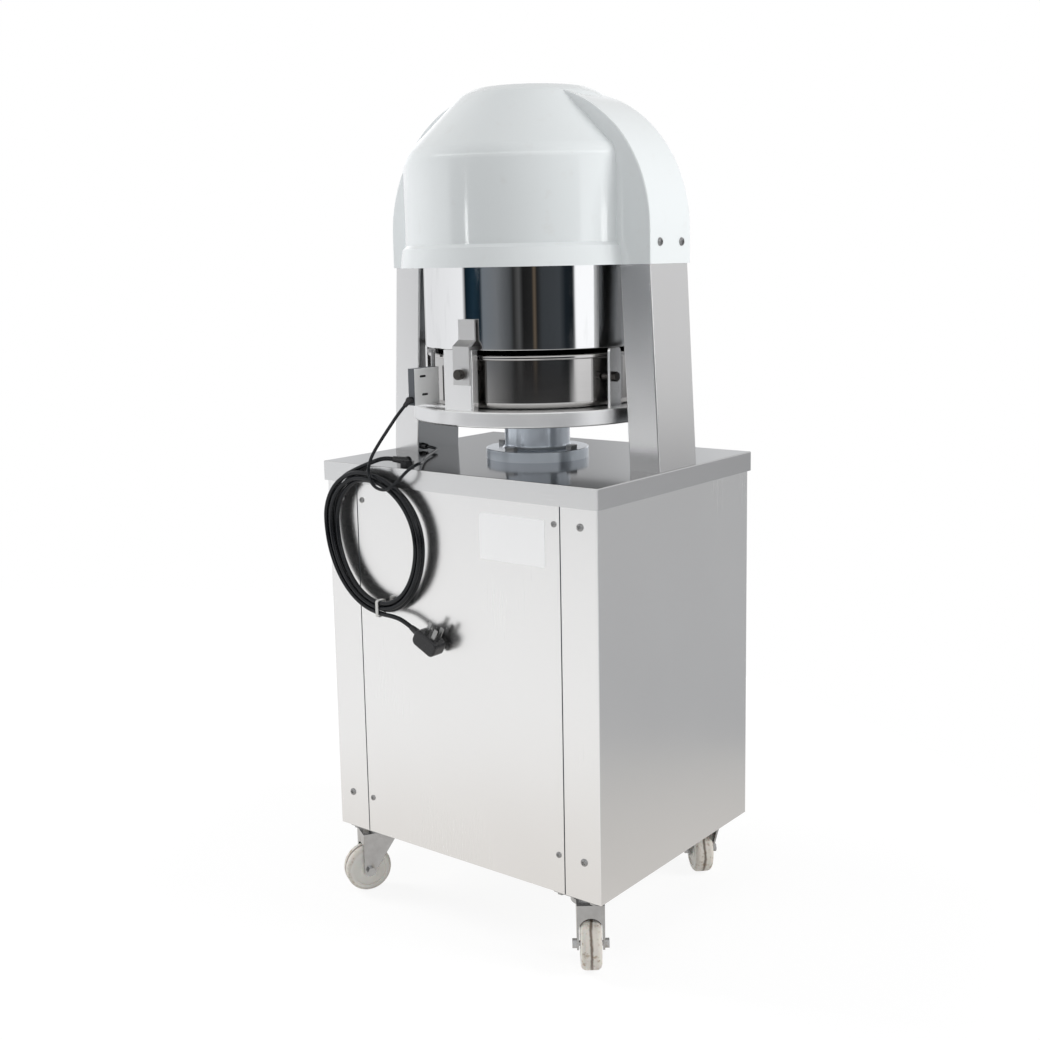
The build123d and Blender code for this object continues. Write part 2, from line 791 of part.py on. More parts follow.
# Screws of the clamps, which centre the pan, and the knurled screw of the guide finger
with BuildPart() as clamp_screws:
    pan_side = math.sqrt(pan_radius**2 - (clamp_bolt_y - clamp_bolt_radius) ** 2)
    bolt_length = clamp_x + clamp_thickness - pan_side - seat_clearance
    for side in SIDES.values():
        seat = Plane((side * (clamp_x + clamp_thickness), clamp_bolt_y, disc_top + clamp_bolt_rise),
                     z_dir=(side, 0, 0))
        with BuildSketch(seat):
            RegularPolygon(clamp_head_radius, 6)
        extrude(amount=clamp_head_height)
        with BuildSketch(seat):
            Circle(clamp_bolt_radius)
        extrude(amount=-bolt_length)
    knob_seat = Plane(
        (finger_centre_x, bracket_reach + finger_thickness, disc_top + finger_screw_rise), z_dir=(0, 1, 0)
    )
    with BuildSketch(knob_seat):
        Circle(finger_knob_radius)
        with PolarLocations(finger_knob_radius, 18):
            Circle(0.5, mode=Mode.SUBTRACT)
    extrude(amount=finger_knob_length)
    with BuildSketch(knob_seat):
        Circle(finger_screw_radius)
    extrude(amount=-(finger_thickness + 2 * bracket_sheet))
save(clamp_screws.part, "clamp_screws")

# Leaning sheet-metal uprights, hollow, with holes for the controls in the front
for side_name, side in SIDES.items():
    with BuildPart() as upright:
        for wall, mode in ((0.0, Mode.ADD), (upright_sheet, Mode.SUBTRACT)):
            sections = []
            for height, shift in ((table_z, 0.0), (upright_top, upright_lean)):
                centre_x = side * (upright_foot_inner + upright_width / 2 - shift)
                with BuildSketch(Plane.XY.offset(height)) as section:
                    with Locations((centre_x, 0)):
                        RectangleRounded(
                            upright_width - 2 * wall, upright_depth - 2 * wall, upright_corner_radius - wall
                        )
                sections.append(section.sketch)
            loft(sections, mode=mode)
        with BuildSketch(Plane((0, -upright_front, 0), x_dir=(1, 0, 0), z_dir=(0, -1, 0))):
            with Locations(control_point(side, start_button_rise), control_point(side, lower_control_rise)):
                Circle(bezel_barrel_radius + button_clearance)
        extrude(amount=-2 * upright_sheet, mode=Mode.SUBTRACT)
        mid_x = upright_foot_inner + upright_width / 2 - upright_lean
        screw_level = rim_z + hood_screw_rise
        with BuildSketch(Plane((side * mid_x, 0, screw_level), x_dir=(0, 1, 0), z_dir=(side, 0, 0))):
            with Locations((-hood_screw_spread / 2, 0), (hood_screw_spread / 2, 0)):
                Circle(screw_shank_radius)
        extrude(amount=upright_width, mode=Mode.SUBTRACT)
        if side > 0:
            foot_x = upright_foot_inner - upright_shift(foot_gland_rise)
            with BuildSketch(Plane((foot_x, foot_gland_y, table_z + foot_gland_rise), z_dir=(1, 0, 0))):
                Circle(lead_radius + screw_hole_clearance)
            extrude(amount=2 * upright_sheet, both=True, mode=Mode.SUBTRACT)
    save(upright.part, f"upright_{side_name}")

# Press frame: two flat tie posts inside the uprights and the crown plate that joins them
with BuildPart() as press_frame:
    with BuildSketch(Plane.XY.offset(bed_top)):
        with Locations((-tie_x, 0), (tie_x, 0)):
            Rectangle(tie_thickness, tie_depth)
    extrude(amount=crown_bottom - bed_top)
    with BuildSketch(Plane.XY.offset(crown_bottom)):
        Rectangle(2 * tie_outer, crown_depth)
        Circle(crown_boss_radius)
        Circle(barrel_radius + running_clearance, mode=Mode.SUBTRACT)
        with GridLocations(*cylinder_bolt_spacing, 2, 2):
            Circle(bolt_radius, mode=Mode.SUBTRACT)
        with Locations((-guide_x, 0), (guide_x, 0)):
            Circle(guide_rod_radius, mode=Mode.SUBTRACT)
    extrude(amount=crown_thickness)
save(press_frame.part, "press_frame")

# Moulded hood: an arch over the uprights with a round bulge through it, open below
with BuildPart() as hood:
    hood_half_depth = upright_front + hood_depth_clearance + hood_wall
    extrude(arch_sketch(0.0), amount=hood_half_depth, both=True)
    arch_ends = hood.faces().filter_by(Axis.Y).edges().filter_by_position(
        Axis.Z, rim_z + 1, hood_top + 1, inclusive=(True, True)
    )
    fillet(arch_ends, hood_edge_radius)
    revolve(bulge_sketch(0.0), axis=Axis.Z)
    extrude(arch_sketch(hood_wall), amount=hood_half_depth - hood_wall, both=True, mode=Mode.SUBTRACT)
    revolve(bulge_sketch(hood_wall), axis=Axis.Z, mode=Mode.SUBTRACT)
    with BuildSketch(Plane((0, 0, rim_z + hood_screw_rise), x_dir=(0, 1, 0), z_dir=(1, 0, 0))):
        with Locations((-hood_screw_spread / 2, 0), (hood_screw_spread / 2, 0)):
            Circle(screw_shank_radius + screw_hole_clearance)
    extrude(amount=hood_half_width + hood_wall, both=True, mode=Mode.SUBTRACT)
save(hood.part, "hood")

# Screws that hold the hood to the uprights
with BuildPart() as hood_screws:
    for side in SIDES.values():
        screw_level = rim_z + hood_screw_rise
        upright_x = upright_foot_inner + upright_width - upright_shift(screw_level - table_z)
        seat = Plane((side * hood_half_width, 0, screw_level), x_dir=(0, 1, 0), z_dir=(side, 0, 0))
        with BuildSketch(seat):
            with Locations((-hood_screw_spread / 2, 0), (hood_screw_spread / 2, 0)):
                Circle(screw_head_radius)
        extrude(amount=screw_head_height)
        with BuildSketch(seat):
            with Locations((-hood_screw_spread / 2, 0), (hood_screw_spread / 2, 0)):
                Circle(screw_shank_radius)
        extrude(amount=-(hood_half_width - upright_x + 2 * upright_sheet))
save(hood_screws.part, "hood_screws")

# Rear bracket on the disc: web, two flanges and a low arm that carries the limit switch
with BuildPart() as switch_bracket:
    low_x = bracket_centre_x - bracket_width / 2
    high_x = bracket_centre_x + bracket_width / 2
    with BuildSketch(Plane.XY.offset(disc_top)):
        with Locations((bracket_centre_x, bracket_reach - bracket_sheet / 2)):
            Rectangle(bracket_width, bracket_sheet)
        for flange_x in (low_x + bracket_sheet / 2, high_x - bracket_sheet / 2):
            with Locations((flange_x, (bracket_inner + bracket_reach) / 2)):
                Rectangle(bracket_sheet, bracket_reach - bracket_inner)
    extrude(amount=bracket_height)
    upright_edges = switch_bracket.edges().filter_by(Axis.Z)
    fillet(upright_edges.sort_by_distance((low_x, bracket_reach, disc_top))[0], bracket_sheet * 0.8)
    with BuildSketch(Plane.XY.offset(disc_top + arm_rise)):
        arm_end = switch_x + switch_thickness
        with Locations(((high_x + arm_end) / 2, (bracket_inner + bracket_reach) / 2)):
            Rectangle(arm_end - high_x, bracket_reach - bracket_inner)
    extrude(amount=bracket_sheet)
    with BuildSketch(Plane((finger_centre_x, bracket_reach, disc_top + finger_screw_rise), z_dir=(0, 1, 0))):
        Circle(finger_screw_radius + bolt_hole_clearance)
    extrude(amount=-bracket_sheet, mode=Mode.SUBTRACT)
save(switch_bracket.part, "switch_bracket")

# Guide finger: a flat bar screwed to the bracket, joggled in beside the guard drum
with BuildPart() as guide_finger:
    finger_in = guard_radius + finger_gap
    finger_side = Plane((finger_centre_x, 0, disc_top), x_dir=(0, 1, 0), z_dir=(1, 0, 0))
    with BuildSketch(finger_side):
        with BuildLine():
            Polyline(
                (bracket_reach, finger_bottom_rise),
                (bracket_reach, finger_bend_rise),
                (finger_in, finger_bend_rise + finger_bend_height),
                (finger_in, finger_top_rise),
                (finger_in + finger_thickness, finger_top_rise),
                (finger_in + finger_thickness, finger_bend_rise + finger_bend_height + finger_thickness / 2),
                (bracket_reach + finger_thickness, finger_bend_rise + finger_thickness / 2),
                (bracket_reach + finger_thickness, finger_bottom_rise),
                close=True,
            )
        make_face()
    extrude(amount=finger_width / 2, both=True)
    with BuildSketch(Plane((finger_centre_x, bracket_reach, disc_top + finger_screw_rise), z_dir=(0, 1, 0))):
        Circle(finger_screw_radius + bolt_hole_clearance)
    extrude(amount=finger_thickness, mode=Mode.SUBTRACT)
save(guide_finger.part, "guide_finger")

# Limit switch: a slim housing that stands on the bracket arm, with a bore for its plunger
with BuildPart() as limit_switch:
    switch_length = switch_back - switch_front
    switch_mid_y = (switch_front + switch_back) / 2
    with BuildSketch(Plane.XY.offset(switch_bottom)):
        with Locations((switch_mid_x, switch_mid_y)):
            Rectangle(switch_thickness, switch_length)
    extrude(amount=switch_height)
    fillet(limit_switch.edges().filter_by(Axis.Z), switch_edge_radius)
    with BuildSketch(Plane.XY.offset(switch_top)):
        with Locations((switch_mid_x, plunger_y)):
            Circle(plunger_stem_radius + running_clearance)
    extrude(amount=-(plunger_depth + plunger_travel + 1.0), mode=Mode.SUBTRACT)
    with BuildSketch(Plane((switch_x, 0, switch_bottom), x_dir=(0, 1, 0), z_dir=(-1, 0, 0))):
        with Locations(*[(switch_back - inset, -share * switch_height) for inset, share in slot_places]):
            SlotOverall(slot_length, slot_width)
    extrude(amount=-slot_depth, mode=Mode.SUBTRACT)
save(limit_switch.part, "limit_switch")

# Plunger with a flat head just under the guard's rim
with BuildPart() as switch_plunger:
    head_top = guard_bottom - seat_clearance
    with BuildSketch(Plane.XY.offset(switch_top - plunger_depth)):
        with Locations((switch_mid_x, plunger_y)):
            Circle(plunger_stem_radius)
    extrude(amount=head_top - switch_top + plunger_depth)
    with BuildSketch(Plane.XY.offset(head_top - plunger_head_height)):
        with Locations((switch_mid_x, plunger_y)):
            Circle(plunger_head_radius)
    extrude(amount=plunger_head_height)
save(switch_plunger.part, "switch_plunger")

# Hydraulic cylinder, hung in the crown by its flange, with two oil ports
with BuildPart() as cylinder_barrel:
    with BuildSketch(Plane.XY.offset(barrel_bottom)):
        Circle(barrel_radius)
    extrude(amount=barrel_top - barrel_bottom)
    with BuildSketch(Plane.XY.offset(crown_top)):
        Circle(barrel_flange_radius)
        Circle(barrel_radius - 1.0, mode=Mode.SUBTRACT)
        with GridLocations(*cylinder_bolt_spacing, 2, 2):
            Circle(bolt_radius + bolt_hole_clearance, mode=Mode.SUBTRACT)
    extrude(amount=barrel_flange_thickness)
    for port_z in (lower_port_z, upper_port_z):
        with BuildSketch(Plane((-bore_radius - 2, port_y, port_z), z_dir=(-1, 0, 0))):
            Circle(port_radius)
        extrude(amount=barrel_radius + port_reach - bore_radius - 2)
    with BuildSketch(Plane.XY.offset(bore_bottom)):
        Circle(bore_radius)
    extrude(amount=bore_top - bore_bottom, mode=Mode.SUBTRACT)
    with BuildSketch(Plane.XY.offset(barrel_bottom)):
        Circle(rod_radius + running_clearance)
    extrude(amount=barrel_gland, mode=Mode.SUBTRACT)
save(cylinder_barrel.part, "cylinder_barrel")

# Piston rod with its piston and the collar that the springs push against
with BuildPart() as piston_rod:
    with BuildSketch(Plane.XY.offset(carrier_top)):
        Circle(rod_radius)
    extrude(amount=piston_bottom - carrier_top)
    with BuildSketch(Plane.XY.offset(piston_bottom)):
        Circle(bore_radius - running_clearance)
    extrude(amount=piston_height)
    with BuildSketch(Plane.XY.offset(collar_bottom)):
        Circle(collar_radius)
    extrude(amount=collar_thickness)
save(piston_rod.part, "piston_rod")

# Carrier plate of the knives, with a hole for each pad's post
with BuildPart() as knife_carrier:
    with BuildSketch(Plane.XY.offset(carrier_bottom)):
        Circle(knife_radius)
        for circle, count in zip(post_circles, ring_counts):
            with PolarLocations(circle, count, start_angle=180 / count):
                Circle(pad_post_radius + pad_post_clearance, mode=Mode.SUBTRACT)
    extrude(amount=carrier_thickness)
save(knife_carrier.part, "knife_carrier")

# Knife grid: ring knives and straight knives that part the dough into equal areas
with BuildPart() as knife_grid:
    with BuildSketch(Plane.XY.offset(knife_bottom)):
        Circle(knife_radius)
        Circle(knife_radius - knife_thickness, mode=Mode.SUBTRACT)
        for radius in reversed(ring_radii[:-1]):
            Circle(radius + knife_thickness / 2)
            Circle(radius - knife_thickness / 2, mode=Mode.SUBTRACT)
        for low, high, count in zip(ring_inner, ring_radii, ring_counts):
            with PolarLocations((low + high) / 2, count):
                Rectangle(high - low - knife_thickness / 2, knife_thickness)
    extrude(amount=knife_height)
save(knife_grid.part, "knife_grid")

# Press plate: one pad in each knife cell, each on a post from a common yoke plate
with BuildPart() as press_plate:
    slot_width = knife_thickness + 2 * knife_clearance
    with BuildSketch(Plane.XY.offset(pad_bottom)):
        Circle(knife_radius - knife_thickness - knife_clearance)
        for radius in reversed(ring_radii[:-1]):
            Circle(radius + slot_width / 2, mode=Mode.SUBTRACT)
            Circle(radius - slot_width / 2)
        for low, high, count in zip(ring_inner, ring_radii, ring_counts):
            with PolarLocations((low + high) / 2, count):
                Rectangle(high - low, slot_width, mode=Mode.SUBTRACT)
    extrude(amount=pad_thickness)
    with BuildSketch(Plane.XY.offset(pad_top)):
        for circle, count in zip(post_circles, ring_counts):
            with PolarLocations(circle, count, start_angle=180 / count):
                Circle(pad_post_radius)
    extrude(amount=yoke_bottom - pad_top)
    with BuildSketch(Plane.XY.offset(yoke_bottom)):
        Circle(knife_radius - yoke_margin)
        Circle(rod_radius + rod_hole_clearance, mode=Mode.SUBTRACT)
    extrude(amount=yoke_thickness)
save(press_plate.part, "press_plate")

# Coil springs between the yoke plate and the collar
spring_bottom = yoke_top + seat_clearance + spring_wire / 2
spring_rise = collar_bottom - yoke_top - 2 * seat_clearance - spring_wire
spring_coils = []
for spring_index in range(spring_count):
    angle = math.radians(45 + 360 * spring_index / spring_count)
    centre = Vector(spring_circle * math.cos(angle), spring_circle * math.sin(angle), spring_bottom)
    climb = spring_rise / spring_turns / (2 * math.pi * spring_radius)
    spring_knots = []
    for quarter in range(4 * spring_turns + 1):
        phase = quarter * math.pi / 2
        spot = centre + Vector(
            spring_radius * math.cos(phase),
            spring_radius * math.sin(phase),
            spring_rise * quarter / (4 * spring_turns),
        )
        spring_knots.append((spot, Vector(-math.sin(phase), math.cos(phase), climb).normalized()))
    coil_part, coil_line = wound_tube(spring_knots, spring_wire / 2, 0.0)
    spring_coils.append(coil_part)
least_gap(coil_line, spring_wire, "plate_springs")
save(Compound(children=spring_coils), "plate_springs")

# Guard drum with its guide lugs and the bar handle at the front
with BuildPart() as guard_drum:
    with BuildSketch(Plane((0, 0, guard_bottom), x_dir=(0.6, 0.8, 0))):
        Circle(guard_radius)
        Circle(guard_radius - guard_wall, mode=Mode.SUBTRACT)
    extrude(amount=guard_height)
    lower_rim = guard_drum.edges().filter_by(GeomType.CIRCLE).group_by(Axis.Z)[0].sort_by(SortBy.RADIUS)[-1]
    fillet(lower_rim, guard_rim_radius)
    with BuildSketch(Plane.XY.offset(lug_bottom)):
        for side in SIDES.values():
            lug_outer = guide_x + lug_margin
            lug_inner = guard_radius - guard_wall / 2
            with Locations((side * (lug_inner + lug_outer) / 2, 0)):
                Rectangle(lug_outer - lug_inner, lug_width)
        Circle(guard_radius - guard_wall / 2, mode=Mode.SUBTRACT)
        with Locations((-guide_x, 0), (guide_x, 0)):
            Circle(guide_rod_radius + running_clearance, mode=Mode.SUBTRACT)
    extrude(amount=lug_height)
    handle_y = -(guard_radius + handle_reach)
    handle_z = guard_bottom + handle_rise
    with BuildSketch(Plane((0, handle_y, handle_z), z_dir=(1, 0, 0))):
        Circle(handle_radius)
    extrude(amount=handle_length / 2, both=True)
    fillet(guard_drum.edges().filter_by(GeomType.CIRCLE).filter_by_position(
        Axis.Y, handle_y - 1, handle_y + 1), 2.0)
    for post_angle in (-handle_post_angle, handle_post_angle):
        outward = Vector(0, -1, 0).rotate(Axis.Z, post_angle)
        wall_reach = guard_radius - guard_wall / 2
        with BuildSketch(Plane(outward * wall_reach + Vector(0, 0, handle_z), z_dir=outward)):
            Circle(handle_post_radius)
        extrude(amount=handle_y / outward.Y - wall_reach)
save(guard_drum.part, "guard_drum")

# Guide rods of the guard, screwed into the crown, each with a stop collar at its foot
with BuildPart() as guard_rods:
    collar_z = lug_bottom - seat_clearance - guide_collar_height
    with BuildSketch(Plane.XY.offset(collar_z)):
        with Locations((-guide_x, 0), (guide_x, 0)):
            Circle(guide_collar_radius)
    extrude(amount=guide_collar_height)
    with BuildSketch(Plane.XY.offset(collar_z + guide_collar_height)):
        with Locations((-guide_x, 0), (guide_x, 0)):
            Circle(guide_rod_radius)
    extrude(amount=crown_bottom + crown_thickness * 0.75 - collar_z - guide_collar_height)
save(guard_rods.part, "guard_rods")

# Bezels of the controls, clamped in the front of the uprights
control_face = Plane((0, -upright_front, 0), x_dir=(1, 0, 0), z_dir=(0, -1, 0))
start_spots = {name: control_point(side, start_button_rise) for name, side in SIDES.items()}
stop_spot = control_point(SIDES["right"], lower_control_rise)
main_spot = control_point(SIDES["left"], lower_control_rise)
with BuildPart() as button_bezels:
    bezel_spots = [*start_spots.values(), stop_spot, main_spot]
    with BuildSketch(control_face):
        with Locations(*bezel_spots):
            Circle(bezel_radius)
            Circle(button_radius + button_clearance, mode=Mode.SUBTRACT)
    extrude(amount=bezel_height)
    with BuildSketch(control_face):
        with Locations(*bezel_spots):
            Circle(bezel_barrel_radius)
            Circle(button_radius + button_clearance, mode=Mode.SUBTRACT)
    extrude(amount=-bezel_barrel_depth)
save(button_bezels.part, "button_bezels")

# Two start buttons, pressed with both hands
for side_name, spot in start_spots.items():
    with BuildPart() as start_button:
        with BuildSketch(control_face.offset(-bezel_barrel_depth / 2)):
            with Locations(spot):
                Circle(button_radius)
        extrude(amount=bezel_barrel_depth / 2 + button_height)
        fillet(start_button.edges().filter_by(GeomType.CIRCLE).sort_by(Axis.Y)[0], 1.5)
    save(start_button.part, f"start_button_{side_name}")

# Mushroom stop button
with BuildPart() as stop_button:
    stop_neck = bezel_height + stop_travel + 1.5
    with BuildSketch(control_face.offset(-bezel_barrel_depth / 2)):
        with Locations(stop_spot):
            Circle(button_radius)
    extrude(amount=bezel_barrel_depth / 2 + stop_neck)
    with BuildSketch(control_face.offset(stop_neck)):
        with Locations(stop_spot):
            Circle(stop_head_radius)
    extrude(amount=stop_head_height)
    fillet(stop_button.edges().filter_by(GeomType.CIRCLE).sort_by(Axis.Y)[0], stop_head_height * 0.45)
save(stop_button.part, "stop_button")

# Rotary main switch with a grip bar
with BuildPart() as main_switch:
    with BuildSketch(control_face.offset(-bezel_barrel_depth / 2)):
        with Locations(main_spot):
            Circle(button_radius)
    extrude(amount=bezel_barrel_depth / 2 + bezel_height + 0.5)
    with BuildSketch(control_face.offset(bezel_height + 0.5)):
        with Locations(main_spot):
            Circle(bezel_radius - 1.0)
    extrude(amount=knob_height - knob_grip_height)
    with BuildSketch(control_face.offset(bezel_height + 0.5 + knob_height - knob_grip_height)):
        with Locations(main_spot):
            RectangleRounded(knob_grip_width, 2 * bezel_radius - 4.0, 2.0)
    extrude(amount=knob_grip_height)
save(main_switch.part, "main_switch")

# Oil tank of the power pack, a welded shell with a filler hole
tank_top = floor_top + tank_size[2]
with BuildPart() as oil_tank:
    with BuildSketch(Plane.XY.offset(floor_top)):
        with Locations(tank_centre):
            Rectangle(tank_size[0], tank_size[1])
    extrude(amount=tank_size[2])
    with BuildSketch(Plane.XY.offset(floor_top + tank_wall)):
        with Locations(tank_centre):
            Rectangle(tank_size[0] - 2 * tank_wall, tank_size[1] - 2 * tank_wall)
    extrude(amount=tank_size[2] - 2 * tank_wall, mode=Mode.SUBTRACT)
    with BuildSketch(Plane.XY.offset(tank_top - tank_wall)):
        with Locations((tank_centre[0], tank_centre[1] + tank_size[1] / 2 - 2 * filler_radius)):
            Circle(filler_radius)
    extrude(amount=tank_wall, mode=Mode.SUBTRACT)
save(oil_tank.part, "oil_tank")

# Motor, stood on the tank's lid
with BuildPart() as motor:
    with BuildSketch(Plane.XY.offset(tank_top)):
        with Locations(motor_centre):
            Circle(motor_radius)
            with PolarLocations(motor_radius, motor_fin_count):
                Rectangle(2 * (motor_fin_radius - motor_radius), motor_fin_width)
    extrude(amount=motor_height)
    with BuildSketch(Plane.XY.offset(tank_top + motor_height)):
        with Locations(motor_centre):
            Circle(motor_radius - 2.0)
    extrude(amount=motor_height * 0.15)
save(motor.part, "motor")

# Valve block on the lid, with a port for each hose
valve_top = tank_top + valve_size[2]
with BuildPart() as valve_block:
    with BuildSketch(Plane.XY.offset(tank_top)):
        with Locations(valve_centre):
            Rectangle(valve_size[0], valve_size[1])
    extrude(amount=valve_size[2])
    with BuildSketch(Plane.XY.offset(valve_top)):
        with Locations(*[(valve_centre[0], y) for y in valve_port_y]):
            Circle(port_radius)
    extrude(amount=port_reach)
save(valve_block.part, "valve_block")

# Two oil hoses, up inside the left upright and over the crown to the cylinder
hose_parts = []
hose_start = valve_top + port_reach
for run_x, start_y, port_z, bend_drop in (
    (hose_x[0], valve_port_y[0], lower_port_z, hose_bend_drop[0]),
    (hose_x[1], valve_port_y[1], upper_port_z, hose_bend_drop[1]),
):
    hose_corners = [
        (valve_centre[0], start_y, hose_start),
        (valve_centre[0], start_y, hose_start + hose_rise),
        (run_x, hose_y, hose_start + hose_turn_rise),
        (run_x, hose_y, crown_bottom - hose_crown_drop),
        (hose_x[0] + hose_inset, hose_y, port_z - bend_drop),
        (-barrel_radius - port_reach - hose_lead_in, port_y, port_z),
        (-barrel_radius - port_reach, port_y, port_z),
    ]
    hose_parts.append(cord_tube(hose_corners, hose_radius, "oil_hoses"))
save(Compound(children=hose_parts), "oil_hoses")

# Electrical box on the inside of the front panel
with BuildPart() as electrical_box:
    box_y = -frame_d + box_size[1] / 2
    box_z = caster_height + box_bottom_rise
    with BuildSketch(Plane.XY.offset(box_z)):
        with Locations((box_centre_x, box_y)):
            Rectangle(box_size[0], box_size[1])
    extrude(amount=box_size[2])
    with BuildSketch(Plane.XY.offset(box_z + box_wall)):
        with Locations((box_centre_x, box_y)):
            Rectangle(box_size[0] - 2 * box_wall, box_size[1] - 2 * box_wall)
    extrude(amount=box_size[2] - 2 * box_wall, mode=Mode.SUBTRACT)
    with BuildSketch(Plane.XY.offset(box_z)):
        with Locations((box_centre_x, box_y)):
            Circle(box_cable_radius)
    extrude(amount=box_wall, mode=Mode.SUBTRACT)
save(electrical_box.part, "electrical_box")

# Caster plates with their raceways and kingpins, and the bolts that hold them to the gussets
caster_spots = {
    name: Vector((-1 if "left" in name else 1) * caster_x, (-1 if "front" in name else 1) * caster_y, 0)
    for name in caster_headings
}
plate_bottom = caster_height - caster_plate_thickness
raceway_bottom = plate_bottom - raceway_height
crown_low = raceway_bottom - seat_clearance - fork_crown_thickness
kingpin_head_top = crown_low - seat_clearance
with BuildPart() as caster_plates:
    with BuildSketch(Plane.XY.offset(plate_bottom)):
        with Locations(*[(spot.X, spot.Y) for spot in caster_spots.values()]):
            RectangleRounded(caster_plate_size, caster_plate_size, 5.0)
            with GridLocations(caster_bolt_spacing, caster_bolt_spacing, 2, 2):
                Circle(caster_bolt_radius + screw_hole_clearance, mode=Mode.SUBTRACT)
    extrude(amount=caster_plate_thickness)
    for level, height, radius in (
        (raceway_bottom, raceway_height, raceway_radius),
        (kingpin_head_top, raceway_bottom - kingpin_head_top, kingpin_radius),
        (kingpin_head_top - kingpin_head_height, kingpin_head_height, kingpin_head_radius),
    ):
        with BuildSketch(Plane.XY.offset(level)):
            with Locations(*[(spot.X, spot.Y) for spot in caster_spots.values()]):
                Circle(radius)
        extrude(amount=height)
save(caster_plates.part, "caster_plates")

with BuildPart() as caster_bolts:
    for spot in caster_spots.values():
        with BuildSketch(Plane((spot.X, spot.Y, plate_bottom), z_dir=(0, 0, -1))):
            with GridLocations(caster_bolt_spacing, caster_bolt_spacing, 2, 2):
                RegularPolygon(caster_bolt_head, 6)
        extrude(amount=caster_bolt_head_height)
        with BuildSketch(Plane((spot.X, spot.Y, plate_bottom), z_dir=(0, 0, 1))):
            with GridLocations(caster_bolt_spacing, caster_bolt_spacing, 2, 2):
                Circle(caster_bolt_radius)
        extrude(amount=caster_plate_thickness + gusset_thickness)
save(caster_bolts.part, "caster_bolts")

# Swivel forks, pressed with an arched web in front, their axle bolts, and the wheels on their headings
for caster_name, heading in caster_headings.items():
    spot = caster_spots[caster_name]
    along = Vector(math.cos(math.radians(heading)), math.sin(math.radians(heading)), 0)
    across = Vector(along.Y, -along.X, 0)
    axle_spot = spot + along * caster_trail + Vector(0, 0, wheel_radius)
    leg_inner = wheel_width / 2 + fork_leg_gap
    leg_outer = leg_inner + fork_leg_thickness
    fork_front = caster_trail + fork_leg_end
    with BuildPart() as fork:
        with BuildSketch(Plane((spot.X, spot.Y, crown_low), x_dir=along)):
            Circle(fork_crown_radius)
            with Locations((fork_front / 2, 0)):
                Rectangle(fork_front, 2 * leg_outer)
        extrude(amount=fork_crown_thickness)
        for leg_start in (-leg_outer, leg_inner):
            leg_top = crown_low + fork_crown_thickness
            with BuildSketch(Plane(spot + across * leg_start, x_dir=along, z_dir=across)):
                with BuildLine():
                    Polyline(
                        (-fork_crown_radius * 0.8, leg_top),
                        (caster_trail - fork_leg_end, wheel_radius),
                        (fork_front, wheel_radius),
                        (fork_front, leg_top),
                        close=True,
                    )
                make_face()
                with Locations((caster_trail, wheel_radius)):
                    Circle(fork_leg_end)
            extrude(amount=fork_leg_thickness)
        arch_z = 2 * wheel_radius + fork_web_gap - leg_inner
        with BuildSketch(Plane(spot + along * fork_front, x_dir=across, z_dir=along)):
            with Locations((0, -(arch_z + leg_top) / 2)):
                Rectangle(2 * leg_outer, leg_top - arch_z)
            with Locations((0, -arch_z)):
                Circle(leg_inner, mode=Mode.SUBTRACT)
        extrude(amount=-fork_web_thickness)
        with BuildSketch(Plane(axle_spot, z_dir=across)):
            Circle(axle_radius)
        extrude(amount=2 * leg_outer, both=True, mode=Mode.SUBTRACT)
        with BuildSketch(Plane((spot.X, spot.Y, crown_low))):
            Circle(kingpin_radius + running_clearance)
        extrude(amount=fork_crown_thickness, mode=Mode.SUBTRACT)
    with BuildPart() as axle:
        with BuildSketch(Plane(axle_spot, z_dir=across)):
            Circle(axle_radius)
        extrude(amount=leg_outer, both=True)
        for end in (-1, 1):
            with BuildSketch(Plane(axle_spot + across * (end * leg_outer), z_dir=across * end)):
                RegularPolygon(axle_head_radius, 6)
            extrude(amount=axle_head_height)
    save(Compound(children=[fork.part, axle.part]), f"caster_fork_{caster_name}")

    with BuildPart() as wheel:
        with BuildSketch(Plane(axle_spot, z_dir=across)):
            Circle(wheel_radius)
        extrude(amount=wheel_width / 2, both=True)
        fillet(wheel.edges().filter_by(GeomType.CIRCLE), wheel_tread_radius)
        for end in (-1, 1):
            with BuildSketch(Plane(axle_spot + across * (end * wheel_width / 2), z_dir=across * end)):
                Circle(wheel_dish_radius)
                Circle(wheel_hub_radius, mode=Mode.SUBTRACT)
            extrude(amount=-wheel_dish_depth, mode=Mode.SUBTRACT)
        with BuildSketch(Plane(axle_spot, z_dir=across)):
            Circle(axle_radius + running_clearance)
        extrude(amount=wheel_width, both=True, mode=Mode.SUBTRACT)
    save(wheel.part, f"caster_wheel_{caster_name}")

